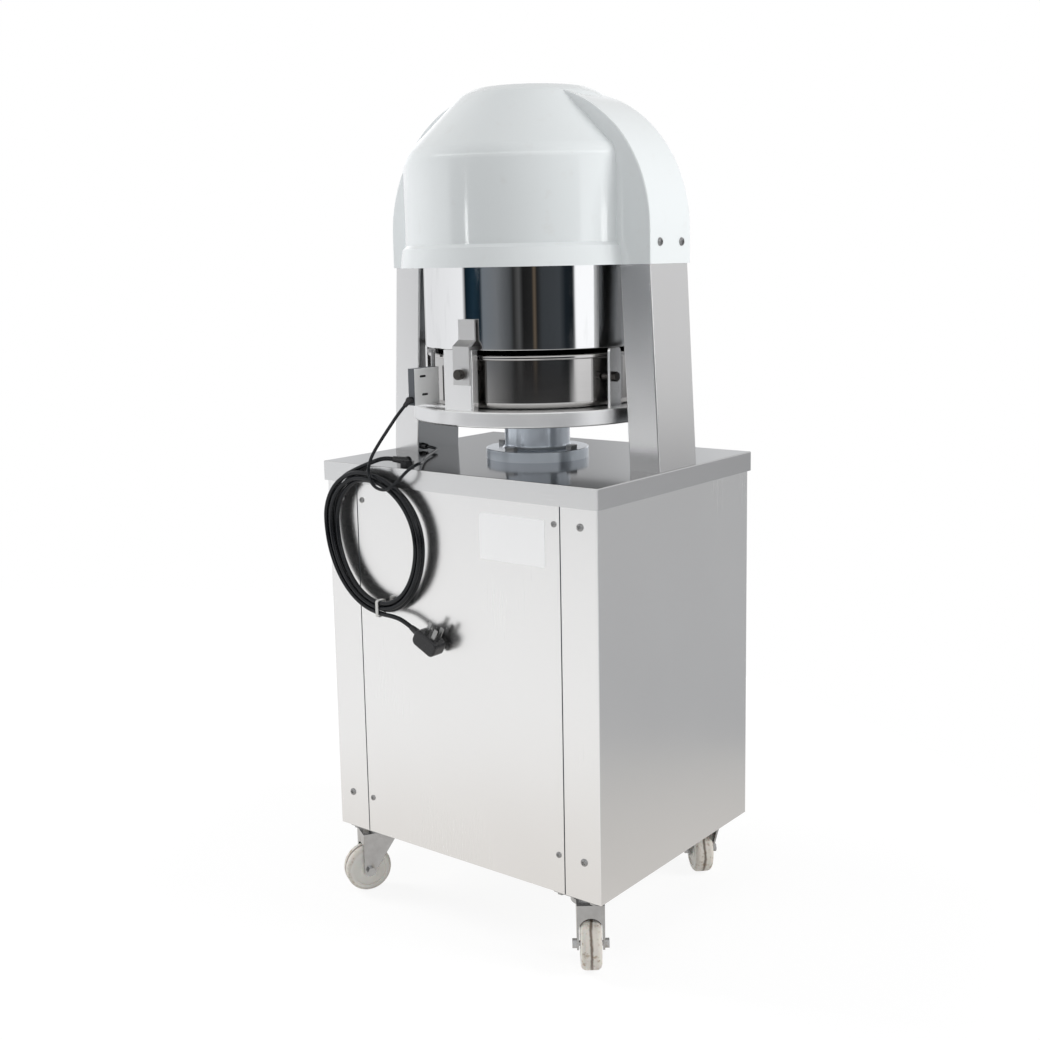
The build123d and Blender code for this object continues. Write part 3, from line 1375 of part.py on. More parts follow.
# Cable glands: the power cord's on the table, the switch lead's at the upright's foot and on the switch
gland_dir = Vector(*gland_axis).normalized()
gland_root = Vector(gland_place[0], gland_place[1], table_z + gland_rise)
gland_tip = gland_root + gland_dir * gland_boot_length
foot_dir = Vector(-1, 0, -upright_lean / upright_height).normalized()
foot_x = upright_foot_inner - upright_shift(foot_gland_rise)
foot_root = Vector(foot_x, foot_gland_y, table_z + foot_gland_rise)
foot_tip = foot_root + foot_dir * foot_gland_length
switch_dir = Vector(*switch_gland_axis).normalized()
switch_root = Vector(switch_mid_x, switch_back + switch_gland_radius, switch_bottom + switch_gland_rise)
switch_tip = switch_root + switch_dir * switch_gland_length
with BuildPart() as power_gland:
    with BuildSketch(Plane.XY.offset(table_z)):
        with Locations(gland_place):
            RegularPolygon(gland_nut_radius, 6)
    extrude(amount=gland_nut_height)
    with Locations(gland_root):
        Sphere(gland_boot_radius + 1.0)
    with BuildSketch(Plane(gland_root, z_dir=gland_dir)) as boot_root:
        Circle(gland_boot_radius)
    with BuildSketch(Plane(gland_tip, z_dir=gland_dir)) as boot_tip:
        Circle(cord_radius + 1.0)
    loft([boot_root.sketch, boot_tip.sketch])
with BuildPart() as foot_gland:
    with BuildSketch(Plane(foot_root, z_dir=foot_dir)):
        Circle(foot_gland_radius)
    extrude(amount=foot_gland_length, taper=6)
with BuildPart() as switch_gland:
    with BuildSketch(Plane((switch_root.X, switch_back, switch_root.Z), z_dir=(0, 1, 0))):
        Circle(switch_gland_radius - 0.5)
    extrude(amount=switch_gland_radius)
    with Locations(switch_root):
        Sphere(switch_gland_radius)
    with BuildSketch(Plane(switch_root, z_dir=switch_dir)) as sleeve_root:
        Circle(switch_gland_radius - 1.0)
    with BuildSketch(Plane(switch_tip, z_dir=switch_dir)) as sleeve_tip:
        Circle(lead_radius + 0.8)
    loft([sleeve_root.sketch, sleeve_tip.sketch])
save(Compound(children=[power_gland.part, foot_gland.part, switch_gland.part]), "cable_glands")

# Hanging coil of the power cord: it spirals in on the inner layer and out again on the outer one
coil_order = ["top", "right", "bottom", "left"]
coil_inward = {"top": (0, -1), "right": (-1, 0), "bottom": (0, 1), "left": (1, 0)}
coil_heading = {"top": (1, 0), "right": (0, -1), "bottom": (-1, 0), "left": (0, 1)}
coil_knots = []
for quarter in range(int(4 * coil_turns) + 1):
    turn = quarter / 4
    place = coil_order[quarter % 4]
    inset = coil_pitch[place] * min(turn, coil_turns - turn)
    climb = min(max((turn - (coil_turns / 2 - 0.25)) / 0.5, 0.0), 1.0)
    spot = Vector(
        coil_centre[0] + coil_shape[place][0] + inset * coil_inward[place][0],
        coil_layer_y + coil_layer_step * climb,
        coil_centre[1] + coil_shape[place][1] + inset * coil_inward[place][1],
    )
    coil_knots.append((spot, Vector(coil_heading[place][0], 0, coil_heading[place][1])))
first_chord = biarc_points(*coil_knots[0], *coil_knots[1])[0] - coil_knots[0][0]
first_radius = -first_chord.dot(first_chord) / (2 * first_chord.Z)
start_sin = math.sin(math.radians(coil_start_angle))
start_cos = math.cos(math.radians(coil_start_angle))
coil_knots[0] = (
    coil_knots[0][0] + Vector(start_sin, 0, start_cos - 1) * first_radius,
    Vector(start_cos, 0, -start_sin),
)
coil_part, coil_line = wound_tube(coil_knots, cord_radius, cord_diameter)
coil_start = coil_knots[0][0] - coil_knots[0][1] * cord_diameter
coil_end = coil_knots[-1][0] + coil_knots[-1][1] * cord_diameter
least_gap(coil_line, cord_diameter, "power_cord_coil")
coil_ideal = math.pi * cord_radius**2 * coil_line.length
print(f"power_cord_coil: volume / (section x length) {coil_part.volume / coil_ideal:.4f}")
save(coil_part, "power_cord_coil")

# Lead from the gland over the table's edge into the coil
lead_corners = [gland_tip, gland_tip + gland_dir * gland_exit_straight, *map(from_edge, cord_lead_points),
                coil_start - coil_knots[0][1] * cord_lead_straight, coil_start]
save(cord_tube(lead_corners, cord_radius, "power_cord_lead"), "power_cord_lead")

# Moulded plug with a side cord entry, and its three flat pins
pin_dir = Vector(*plug_pin_axis).normalized()
entry_dir = Vector(pin_dir.Z, 0, -pin_dir.X)
plug_mid = from_edge(plug_place)
boot_base = plug_mid + entry_dir * (plug_width / 2 - 1.0)
boot_end = plug_mid + entry_dir * (plug_width / 2 + plug_boot_length)
with BuildPart() as plug_body:
    with BuildSketch(Plane(plug_mid, x_dir=entry_dir, z_dir=(0, 1, 0))):
        RectangleRounded(plug_width, plug_height, plug_corner_radius)
    extrude(amount=plug_depth / 2, both=True)
    fillet(plug_body.faces().filter_by(Axis.Y).edges(), plug_edge_radius)
    with BuildSketch(Plane(boot_base, z_dir=entry_dir)) as entry_wide:
        Circle(plug_boot_radius)
    with BuildSketch(Plane(boot_end, z_dir=entry_dir)) as entry_slim:
        Circle(cord_radius + 0.8)
    loft([entry_wide.sketch, entry_slim.sketch])
save(plug_body.part, "plug_body")

with BuildPart() as plug_pins:
    with BuildSketch(Plane(plug_mid + pin_dir * (plug_height / 2), x_dir=entry_dir, z_dir=pin_dir)):
        with Locations(*pin_places):
            Rectangle(pin_width, pin_thickness)
    extrude(amount=pin_length)
save(plug_pins.part, "plug_pins")

# Tail from the coil to the plug
tail_corners = [coil_end, coil_end + coil_knots[-1][1] * plug_tail_straight,
                boot_end + entry_dir * plug_tail_straight, boot_end]
save(cord_tube(tail_corners, cord_radius, "power_cord_tail"), "power_cord_tail")

# White band that ties the strands at the foot of the coil
with BuildPart() as coil_tie:
    band_x = coil_knots[-1][0].X + band_width
    strands = [coil_line @ (n / 4000) for n in range(4001)]
    bundle = [p for p in strands if abs(p.X - band_x) < band_width and p.Z < coil_centre[1]]
    reach = cord_radius + band_gap
    low_y, high_y = min(p.Y for p in bundle) - reach, max(p.Y for p in bundle) + reach
    low_z, high_z = min(p.Z for p in bundle) - reach, max(p.Z for p in bundle) + reach
    with BuildSketch(Plane((band_x, (low_y + high_y) / 2, (low_z + high_z) / 2), x_dir=(0, 1, 0),
                           z_dir=(1, 0, 0))):
        RectangleRounded(high_y - low_y + 2 * band_wall, high_z - low_z + 2 * band_wall, cord_radius)
        RectangleRounded(high_y - low_y, high_z - low_z, cord_radius - band_wall, mode=Mode.SUBTRACT)
    extrude(amount=band_width / 2, both=True)
save(coil_tie.part, "coil_tie")

# Switch lead: from the limit switch in a loop before the coil, over the table to the upright's foot
switch_corners = [switch_tip, switch_tip + switch_dir * switch_exit_straight]
switch_corners += map(from_edge, switch_lead_points)
switch_corners += [foot_tip + foot_dir * foot_entry_straight, foot_tip]
save(cord_tube(switch_corners, lead_radius, "switch_lead"), "switch_lead")
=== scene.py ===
"""Dough divider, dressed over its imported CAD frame: finishes, cords and small trim.

Metres, in the same frame as the CAD.
"""
import json
import math

import bmesh
import bpy
from mathutils import Matrix, Vector


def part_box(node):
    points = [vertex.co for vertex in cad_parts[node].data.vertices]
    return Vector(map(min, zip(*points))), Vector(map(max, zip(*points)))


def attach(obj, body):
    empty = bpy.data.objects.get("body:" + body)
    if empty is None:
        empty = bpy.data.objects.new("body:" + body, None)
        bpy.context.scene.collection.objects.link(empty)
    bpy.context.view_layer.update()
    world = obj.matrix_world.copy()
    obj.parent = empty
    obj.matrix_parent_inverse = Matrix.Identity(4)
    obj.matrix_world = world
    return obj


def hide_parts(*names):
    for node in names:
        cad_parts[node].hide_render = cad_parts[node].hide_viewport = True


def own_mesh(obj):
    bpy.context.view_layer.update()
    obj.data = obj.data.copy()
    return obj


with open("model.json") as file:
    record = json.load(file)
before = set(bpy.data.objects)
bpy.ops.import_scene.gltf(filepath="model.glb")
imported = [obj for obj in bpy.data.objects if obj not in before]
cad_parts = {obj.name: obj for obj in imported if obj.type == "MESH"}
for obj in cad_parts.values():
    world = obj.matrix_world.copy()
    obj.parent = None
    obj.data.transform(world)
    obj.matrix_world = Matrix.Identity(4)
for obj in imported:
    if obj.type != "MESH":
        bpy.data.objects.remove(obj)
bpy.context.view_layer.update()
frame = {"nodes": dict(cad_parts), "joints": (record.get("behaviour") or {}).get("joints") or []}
MM = 0.001


# Welded base frame, bed plate and press frame: rolled steel sections, ground at the welds
# and brushed over with dark grey enamel. The floor sheet of the cabinet is plain galvanised steel.
class Shade:
    """One socket of a node tree. Arithmetic on it adds Math nodes; every other node comes from node()."""

    def __init__(self, tree, socket=None):
        self.tree = tree
        self.socket = socket

    def feed(self, socket, value):
        if isinstance(value, Shade):
            self.tree.links.new(value.socket, socket)
        else:
            socket.default_value = value

    def node(self, kind, settings=None, inputs=None, out=0):
        made = self.tree.nodes.new("ShaderNode" + kind)
        for name, value in (settings or {}).items():
            if name == "stops":
                stops = made.color_ramp.elements
                stops.remove(stops[-1])
                stops[0].position, stops[0].color = value[0]
                for place, colour in value[1:]:
                    stops.new(place).color = colour
            else:
                setattr(made, name, value)
        for name, value in (inputs or {}).items():
            self.feed(made.inputs[name], value)
        return Shade(self.tree, made.outputs[out])

    def math(self, operation, *terms):
        return self.node("Math", {"operation": operation}, dict(enumerate(terms)))

    def __add__(self, other):
        return self.math("ADD", self, other)

    def __radd__(self, other):
        return self.math("ADD", other, self)

    def __sub__(self, other):
        return self.math("SUBTRACT", self, other)

    def __rsub__(self, other):
        return self.math("SUBTRACT", other, self)

    def __mul__(self, other):
        return self.math("MULTIPLY", self, other)

    def __rmul__(self, other):
        return self.math("MULTIPLY", other, self)

    def __truediv__(self, other):
        return self.math("DIVIDE", self, other)

    def __abs__(self):
        return self.math("ABSOLUTE", self)


def new_finish(name, plain):
    """Material with plain values on its shader; gives it, its shader's sockets and the object coordinates."""
    material = bpy.data.materials.new(name)
    material.use_nodes = True
    sockets = material.node_tree.nodes["Principled BSDF"].inputs
    for socket, value in plain.items():
        sockets[socket].default_value = value
    return material, sockets, Shade(material.node_tree).node("TexCoord", out="Object")


def noise(here, stretch, detail=3.0, rough=0.55):
    """Cloudy noise, its grain drawn out by a stretch for each axis, in cycles per metre."""
    drawn = here.node("VectorMath", {"operation": "MULTIPLY"}, {0: here, 1: stretch})
    return here.node("TexNoise", {}, {"Vector": drawn, "Scale": 1.0, "Detail": detail, "Roughness": rough})


def between(value, low, high):
    """Smooth step from 0 at low to 1 at high."""
    limits = {"Value": value, "From Min": low, "From Max": high}
    return value.node("MapRange", {"interpolation_type": "SMOOTHSTEP"}, limits)


def tint(share, first, second):
    """Colour that goes from first to second with share."""
    return share.node("Mix", {"data_type": "RGBA"}, {0: share, 6: first, 7: second}, out=2)


def relief(height, depth):
    """Surface relief of a given depth in metres."""
    return height.node("Bump", {}, {"Height": height, "Distance": depth, "Strength": 1.0})


def grey(level, warmth=0.0):
    return (level * (1 + warmth), level, level * (1 - warmth), 1.0)


def dress(material, *names):
    """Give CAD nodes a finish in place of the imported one."""
    for name in names:
        slots = frame["nodes"][name].data.materials
        slots.clear()
        slots.append(material)


enamel, enamel_in, here = new_finish("dark_enamel", {"Specular IOR Level": 0.4})
patches = noise(here, (14.0, 14.0, 9.0))
brush_marks = noise(here, (40.0, 40.0, 420.0), 2.0)
here.feed(enamel_in["Base Color"], tint(patches, (0.050, 0.056, 0.066, 1), (0.078, 0.085, 0.098, 1)))
here.feed(enamel_in["Roughness"], 0.34 + 0.22 * patches)
here.feed(enamel_in["Normal"], relief(brush_marks, 0.05 * MM))
dress(enamel, "base_frame", "bed_plate", "press_frame")

galvanised, galvanised_in, here = new_finish("galvanised_sheet", {"Metallic": 1.0})
spangle = here.node("TexVoronoi", {}, {"Vector": here, "Scale": 90.0}, out="Color")
flake = spangle.node("SeparateColor", {}, {"Color": spangle})
here.feed(galvanised_in["Base Color"], tint(flake, grey(0.50), grey(0.66)))
here.feed(galvanised_in["Roughness"], 0.30 + 0.20 * flake)
dress(galvanised, "bottom_plate")


# Swivel casters: pressed forks and top plates, bright zinc plated, on hexagon bolts.
# The wheels are cream nylon; floor dirt has worn a brown line into the middle of each tread.
zinc, zinc_in, here = new_finish("bright_zinc", {"Metallic": 1.0})
bloom = noise(here, (60.0, 60.0, 60.0), 4.0)
draw_lines = noise(here, (160.0, 160.0, 700.0), 2.0)
stain = between(noise(here, (32.0, 32.0, 26.0), 3.0), 0.56, 0.76)
plating = tint(bloom, grey(0.34), grey(0.54, -0.01))
here.feed(zinc_in["Base Color"], tint(stain, plating, (0.26, 0.23, 0.18, 1)))
here.feed(zinc_in["Roughness"], 0.10 + 0.16 * bloom + 0.18 * stain)
here.feed(zinc_in["Normal"], relief(draw_lines, 0.03 * MM))
CORNERS = ("rear_left", "rear_right", "front_left", "front_right")
dress(zinc, "caster_plates", "caster_bolts", *["caster_fork_" + corner for corner in CORNERS])

WHEEL_R = 37.5 * MM
joints = {joint["name"]: joint for joint in frame["joints"]}
for corner in CORNERS:
    depths = {"Subsurface Weight": 0.08, "Subsurface Scale": 0.004}
    nylon, nylon_in, here = new_finish("cream_nylon_" + corner, depths)
    axle = joints["spin_" + corner]
    arm = here.node("VectorMath", {"operation": "SUBTRACT"}, {0: here, 1: axle["pos_m"]})
    across = arm.node("VectorMath", {"operation": "DOT_PRODUCT"}, {0: arm, 1: axle["axis"]}, out="Value")
    reach = arm.node("VectorMath", {"operation": "LENGTH"}, {0: arm}, out="Value")
    wander = noise(here, (55.0, 55.0, 55.0), 2.0) - 0.5
    tread = between(reach, 0.92 * WHEEL_R, 0.985 * WHEEL_R)
    line = 1 - between(abs(across + wander * (6 * MM)), 0.6 * MM, 3.4 * MM)
    scuff = between(noise(here, (150.0, 150.0, 150.0), 5.0), 0.52, 0.72)
    clean = tint(noise(here, (20.0, 20.0, 20.0)), (0.90, 0.88, 0.81, 1), (0.95, 0.94, 0.91, 1))
    worn = tint(tread * (0.25 + 0.60 * scuff), clean, (0.42, 0.32, 0.22, 1))
    here.feed(nylon_in["Base Color"], tint(tread * line * 0.85, worn, (0.10, 0.062, 0.036, 1)))
    here.feed(nylon_in["Roughness"], 0.36 + 0.25 * tread * scuff)
    here.feed(nylon_in["Normal"], relief(noise(here, (420.0, 420.0, 420.0)) - 0.6 * tread * scuff, 0.12 * MM))
    dress(nylon, "caster_wheel_" + corner)


# Cabinet panels: folded stainless sheets with an upright grain, screwed to the corner posts.
# The flat panels sit between the returns of the side panels; handling has left faint cloudy patches.
def brushed(name, grain, rough, tone, depth=0.001 * MM, inner_painted_shade=None):
    """Brushed stainless sheet.

    grain is the stretch of its fine lines, inner_painted_shade the tone of a painted shade on faces towards x
    = 0.
    """
    material, sockets, here = new_finish(name, {"Metallic": 1.0})
    lines = noise(here, grain, 2.0)
    fine = noise(here, [3.1 * pull for pull in grain], 1.0)
    handled = between(noise(here, (5.0, 5.0, 4.0), 2.0), 0.35, 0.75)
    colour = tint(0.5 * lines + 0.5 * handled, grey(tone * 0.98, 0.006), grey(tone * 1.015, 0.004))
    # Painted shade: faces that point towards x = 0 are mixed to a darker grey.
    if inner_painted_shade:
        facing = here.node("TexCoord", out="Normal")
        side = here.node("SeparateXYZ", {}, {"Vector": here}, out="X")
        inward = side.math("SIGN", side) * facing.node("SeparateXYZ", {}, {"Vector": facing}, out="X")
        colour = tint(between(0 - inward, 0.7, 0.9), colour, grey(inner_painted_shade, -0.02))
    here.feed(sockets["Base Color"], colour)
    here.feed(sockets["Roughness"], rough + 0.05 * (lines - 0.5) + 0.02 * handled)
    here.feed(sockets["Normal"], relief(lines + 0.5 * fine, depth))
    return material


panel_sheet = brushed("brushed_panel", (900.0, 900.0, 5.0), 0.25, 0.87)
dress(panel_sheet, "rear_panel", "front_panel", "side_panel_left", "side_panel_right")


# Panel and hood screws: stainless pan heads with a cross recess, turned home at odd angles.
RETURN_SCREW = (5.6 * MM, 2.6 * MM)
PANEL_SCREW = (4.5 * MM, 2.2 * MM)
HOOD_SCREW = (6.0 * MM, 3.0 * MM)
RETURN_SCREW_X = 231.0 * MM
PANEL_SCREW_X = 186.0 * MM
PANEL_SCREW_HEIGHTS = (657.0 * MM, 170.0 * MM)
HOOD_SCREW_Y = 29.0 * MM
HOOD_SCREW_Z = 1043.0 * MM


def dome_head(radius, height):
    """Pan-head screw on its seat, axis along +Z, with a cross recess cut into the dome."""
    shell = bmesh.new()
    outline = [(radius, -0.2 * height), (radius, 0.30 * height), (0.93 * radius, 0.58 * height),
               (0.76 * radius, 0.82 * height), (0.50 * radius, 0.95 * height), (0.24 * radius, height)]
    steps = 40
    rings = []
    for reach, rise in outline:
        turns = [2 * math.pi * step / steps for step in range(steps)]
        rings.append([shell.verts.new((reach * math.cos(a), reach * math.sin(a), rise)) for a in turns])
    for low, high in zip(rings, rings[1:]):
        for step in range(steps):
            after = (step + 1) % steps
            shell.faces.new((low[step], low[after], high[after], high[step]))
    shell.faces.new(rings[-1])
    shell.faces.new(list(reversed(rings[0])))
    head = bpy.data.objects.new("head_blank", bpy.data.meshes.new("head_blank"))
    shell.to_mesh(head.data)
    shell.free()
    bpy.context.scene.collection.objects.link(head)
    cutters = []
    for turn in (0.0, math.pi / 2):
        slot = bmesh.new()
        bmesh.ops.create_cube(slot, size=1.0)
        bmesh.ops.scale(slot, vec=(1.15 * radius, 0.26 * radius, height), verts=slot.verts)
        bmesh.ops.translate(slot, vec=(0, 0, 1.02 * height), verts=slot.verts)
        bmesh.ops.rotate(slot, matrix=Matrix.Rotation(turn, 3, "Z"), verts=slot.verts)
        cutter = bpy.data.objects.new("slot_cutter", bpy.data.meshes.new("slot_cutter"))
        slot.to_mesh(cutter.data)
        slot.free()
        bpy.context.scene.collection.objects.link(cutter)
        cut = head.modifiers.new("slot", "BOOLEAN")
        cut.operation = "DIFFERENCE"
        cut.object = cutter
        cutters.append(cutter)
    made = bpy.data.meshes.new_from_object(head.evaluated_get(bpy.context.evaluated_depsgraph_get()))
    for used in (head, *cutters):
        bpy.data.objects.remove(used)
    return made


def new_piece(name, mesh_data, material, body="frame"):
    """Object of this dough divider in the shared frame, riding on a body."""
    piece = bpy.data.objects.new(name, mesh_data)
    bpy.context.scene.collection.objects.link(piece)
    if not piece.data.materials:
        piece.data.materials.append(material)
    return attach(piece, body)


def scatter(name, places):
    """One mesh that holds a copy of a blank for each (blank, seat, outward axis, turn)."""
    gathered = bmesh.new()
    for blank, seat, outward, turn in places:
        stand = Vector(outward).to_track_quat("Z", "Y").to_matrix().to_4x4()
        copy = blank.copy()
        copy.transform(Matrix.Translation(seat) @ stand @ Matrix.Rotation(turn, 4, "Z"))
        gathered.from_mesh(copy)
        bpy.data.meshes.remove(copy)
    made = bpy.data.meshes.new(name)
    gathered.to_mesh(made)
    gathered.free()
    return made


fastener, fastener_in, here = new_finish("stainless_fastener", {"Metallic": 1.0})
scratch = noise(here, (700.0, 700.0, 700.0), 3.0)
here.feed(fastener_in["Base Color"], tint(scratch, grey(0.20), grey(0.46)))
here.feed(fastener_in["Roughness"], 0.20 + 0.22 * scratch)
dress(fastener, "panel_screws", "hood_screws", "frame_bolts", "plug_pins", "switch_plunger")

rear_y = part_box("rear_panel")[1].y
hood_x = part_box("hood")[1].x
seats = []
for blank, x in ((dome_head(*RETURN_SCREW), RETURN_SCREW_X), (dome_head(*PANEL_SCREW), PANEL_SCREW_X)):
    for sign_x in (-1, 1):
        for z in PANEL_SCREW_HEIGHTS:
            for sign_y in (-1, 1):
                seat = Vector((sign_x * x, sign_y * rear_y, z))
                seats.append((blank, seat, (0, sign_y, 0), 7.3 * sign_x * x / MM + z / MM))
panel_screws = new_piece("panel_screw_heads", scatter("panel_screw_heads", seats), fastener)
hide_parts("panel_screws")
seats = []
blank = dome_head(*HOOD_SCREW)
for sign_x in (-1, 1):
    for y in (-HOOD_SCREW_Y, HOOD_SCREW_Y):
        seat = Vector((sign_x * hood_x, y, HOOD_SCREW_Z))
        seats.append((blank, seat, (sign_x, 0, 0), 61.0 * y / MM))
hood_screws = new_piece("hood_screw_heads", scatter("hood_screw_heads", seats), fastener)
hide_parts("hood_screws")


# Rating plate place on the rear panel: a bare white foil with rounded corners, stuck flat.
PLATE_LOW = (-170 * MM, 593 * MM)
PLATE_HIGH = (-51 * MM, 661 * MM)
PLATE_CORNER = 3 * MM


def flat_plate(name, low, high, depth, corner):
    """Thin plate with rounded corners, on a wall that faces +Y; low and high are (x, z)."""
    plate = bmesh.new()
    rim = []
    for cx, cz, start in ((high[0] - corner, high[1] - corner, 0), (low[0] + corner, high[1] - corner, 90),
                          (low[0] + corner, low[1] + corner, 180), (high[0] - corner, low[1] + corner, 270)):
        for step in range(7):
            angle = math.radians(start + 15 * step)
            x, z = cx + corner * math.cos(angle), cz + corner * math.sin(angle)
            rim.append(plate.verts.new((x, depth[0], z)))
    face = plate.faces.new(rim)
    raised = bmesh.ops.extrude_face_region(plate, geom=[face])["geom"]
    verts = [item for item in raised if isinstance(item, bmesh.types.BMVert)]
    bmesh.ops.translate(plate, vec=(0, depth[1] - depth[0], 0), verts=verts)
    bmesh.ops.recalc_face_normals(plate, faces=plate.faces)
    made = bpy.data.meshes.new(name)
    plate.to_mesh(made)
    plate.free()
    return made


foil, foil_in, here = new_finish("white_foil", {"Metallic": 0.92})
foil_grain = noise(here, (500.0, 500.0, 500.0))
here.feed(foil_in["Base Color"], tint(noise(here, (18.0, 18.0, 18.0)), grey(0.955), grey(0.985)))
here.feed(foil_in["Roughness"], 0.28 + 0.08 * foil_grain)
here.feed(foil_in["Normal"], relief(foil_grain, 0.01 * MM))
foil_depth = (rear_y - 0.05 * MM, rear_y + 0.3 * MM)
foil_mesh = flat_plate("blank_plate", PLATE_LOW, PLATE_HIGH, foil_depth, PLATE_CORNER)
new_piece("blank_plate", foil_mesh, foil)


# Table top: one folded stainless sheet. The top is ground to a mirror, the apron keeps a long grain.
table_finish, table_in, here = new_finish("polished_table", {"Metallic": 1.0, "Specular Tint": grey(0.6)})
facing = here.node("TexCoord", out="Normal")
level = between(facing.node("SeparateXYZ", {}, {"Vector": facing}, out="Z"), 0.6, 0.95)
apron_lines = noise(here, (6.0, 6.0, 1100.0), 2.0)
wipe = noise(here, (22.0, 9.0, 9.0), 4.0)
apron_tone = tint(apron_lines, grey(0.70), grey(0.74))
top_tone = tint(wipe, grey(0.54), grey(0.60))
here.feed(table_in["Base Color"], tint(level, apron_tone, top_tone))
here.feed(table_in["Roughness"], (0.07 + 0.07 * wipe) * level + (0.23 + 0.05 * apron_lines) * (1 - level))
here.feed(table_in["Normal"], relief(apron_lines * (1 - level), 0.004 * MM))
dress(table_finish, "table_top")


# Pedestal: grey cast iron, machined on the flange's rim and sprayed; hexagon bolts hold it down.
lacquer = {"Metallic": 0.55, "Coat Weight": 0.5, "Coat Roughness": 0.06}
cast_grey, cast_in, here = new_finish("pedestal_paint", lacquer)
skin = noise(here, (260.0, 260.0, 260.0), 4.0)
cloud = noise(here, (16.0, 16.0, 16.0))
here.feed(cast_in["Base Color"], tint(cloud, (0.760, 0.830, 0.920, 1), (0.840, 0.905, 0.980, 1)))
here.feed(cast_in["Roughness"], 0.16 + 0.14 * skin)
here.feed(cast_in["Normal"], relief(skin, 0.04 * MM))
dress(cast_grey, "pedestal")


# Work disc and dough pan: turned and polished steel. The lathe's rings run round the axis,
# the pan is spun and a little duller than the disc's ground edge.
def turned(name, rough, tone, depth, pitch, under=1.0, warmth=0.0, smears=0.06):
    """Steel turned about the press axis, with rings that follow the radius and height.

    under darkens its underside as painted shade, smears is how far finger marks dull it.
    """
    material, sockets, here = new_finish(name, {"Metallic": 1.0})
    flat = here.node("VectorMath", {"operation": "MULTIPLY"}, {0: here, 1: (1, 1, 0)})
    radius = flat.node("VectorMath", {"operation": "LENGTH"}, {0: flat}, out="Value")
    height = here.node("SeparateXYZ", {}, {"Vector": here}, out="Z")
    track = here.node("CombineXYZ", {}, {"X": radius * pitch, "Y": height * pitch, "Z": 0.0})
    rings = here.node("TexNoise", {}, {"Vector": track, "Scale": 1.0, "Detail": 3.0, "Roughness": 0.6})
    smear = between(noise(here, (10.0, 10.0, 10.0), 4.0), 0.40, 0.72)
    facing = here.node("TexCoord", out="Normal")
    # Painted shade: faces that point down are darkened to the share under of the tone.
    below = between(0 - facing.node("SeparateXYZ", {}, {"Vector": facing}, out="Z"), 0.6, 0.9)
    clean = tint(0.5 * rings + 0.5 * smear, grey(tone * 0.92, warmth), grey(tone * 1.04, warmth))
    here.feed(sockets["Base Color"], tint(below, clean, grey(tone * under)))
    here.feed(sockets["Roughness"], rough * (0.65 + 0.7 * rings) + smears * smear)
    here.feed(sockets["Normal"], relief(rings, depth))
    return material


# The disc's underside is painted dark, a painted shade.
dress(turned("turned_disc", 0.32, 0.80, 0.012 * MM, 900.0, under=0.15), "work_disc")
dress(turned("spun_pan", 0.05, 0.50, 0.005 * MM, 500.0, warmth=0.02, smears=0.02), "dough_pan")


# Uprights: folded stainless boxes that lean in beneath the hood; their inner faces are painted a darker grey
# as painted shade.
# Clamp plates and switch bracket: cut from thick satin sheet, held by blackened screws.
upright_sheet = brushed("brushed_upright", (1000.0, 1000.0, 7.0), 0.20, 0.78, inner_painted_shade=0.50)
dress(upright_sheet, "upright_left", "upright_right")
plate_sheet = brushed("satin_plate", (500.0, 500.0, 30.0), 0.22, 0.88)
dress(plate_sheet, "pan_clamps", "switch_bracket")
blackened, blackened_in, here = new_finish("blackened_screw", {"Metallic": 1.0})
knurl = noise(here, (1500.0, 1500.0, 1500.0), 2.0)
here.feed(blackened_in["Base Color"], tint(between(knurl, 0.45, 0.70), grey(0.03, 0.05), grey(0.22, 0.06)))
here.feed(blackened_in["Roughness"], 0.24 + 0.20 * knurl)
here.feed(blackened_in["Normal"], relief(knurl, 0.12 * MM))
dress(blackened, "clamp_screws")


# Thumb screw of the guide finger: a blackened knob with a straight knurl, pressed over the screw's head.
KNOB_X, KNOB_Z = -8.5 * MM, 858.0 * MM
KNOB_R = 7.6 * MM
KNURL_DEPTH = 0.9 * MM
KNURL_STEPS = 4 * 22
KNURL_BACK, KNURL_FRONT = 6.5 * MM, 0.6 * MM


def knurled_ring(name, near, far):
    """Ring of straight ribs about the thumb screw's axis, from near to far along Y."""
    ring = bmesh.new()
    ends = []
    for y in (near, far):
        rim = []
        for step in range(KNURL_STEPS):
            angle = 2 * math.pi * step / KNURL_STEPS
            radius = KNOB_R if step % 4 < 2 else KNOB_R - KNURL_DEPTH
            x, z = KNOB_X + radius * math.cos(angle), KNOB_Z + radius * math.sin(angle)
            rim.append(ring.verts.new((x, y, z)))
        ends.append(rim)
    for step in range(KNURL_STEPS):
        after = (step + 1) % KNURL_STEPS
        ring.faces.new((ends[0][step], ends[0][after], ends[1][after], ends[1][step]))
    ring.faces.new(ends[1])
    ring.faces.new(list(reversed(ends[0])))
    bmesh.ops.recalc_face_normals(ring, faces=ring.faces)
    made = bpy.data.meshes.new(name)
    ring.to_mesh(made)
    ring.free()
    return made


knob_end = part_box("clamp_screws")[1].y
knurl_mesh = knurled_ring("thumb_screw_knurl", knob_end - KNURL_BACK, knob_end - KNURL_FRONT)
new_piece("thumb_screw_knurl", knurl_mesh, blackened)


# Knives, press plate, cylinder and rod: machined steel, hidden in the drum and the hood.
machined = turned("machined_steel", 0.30, 0.60, 0.015 * MM, 700.0)
dress(machined, "cylinder_barrel", "piston_rod", "knife_carrier", "guard_rods", "valve_block")
knife_steel = brushed("knife_steel", (300.0, 300.0, 900.0), 0.18, 0.72)
dress(knife_steel, "knife_grid", "press_plate")


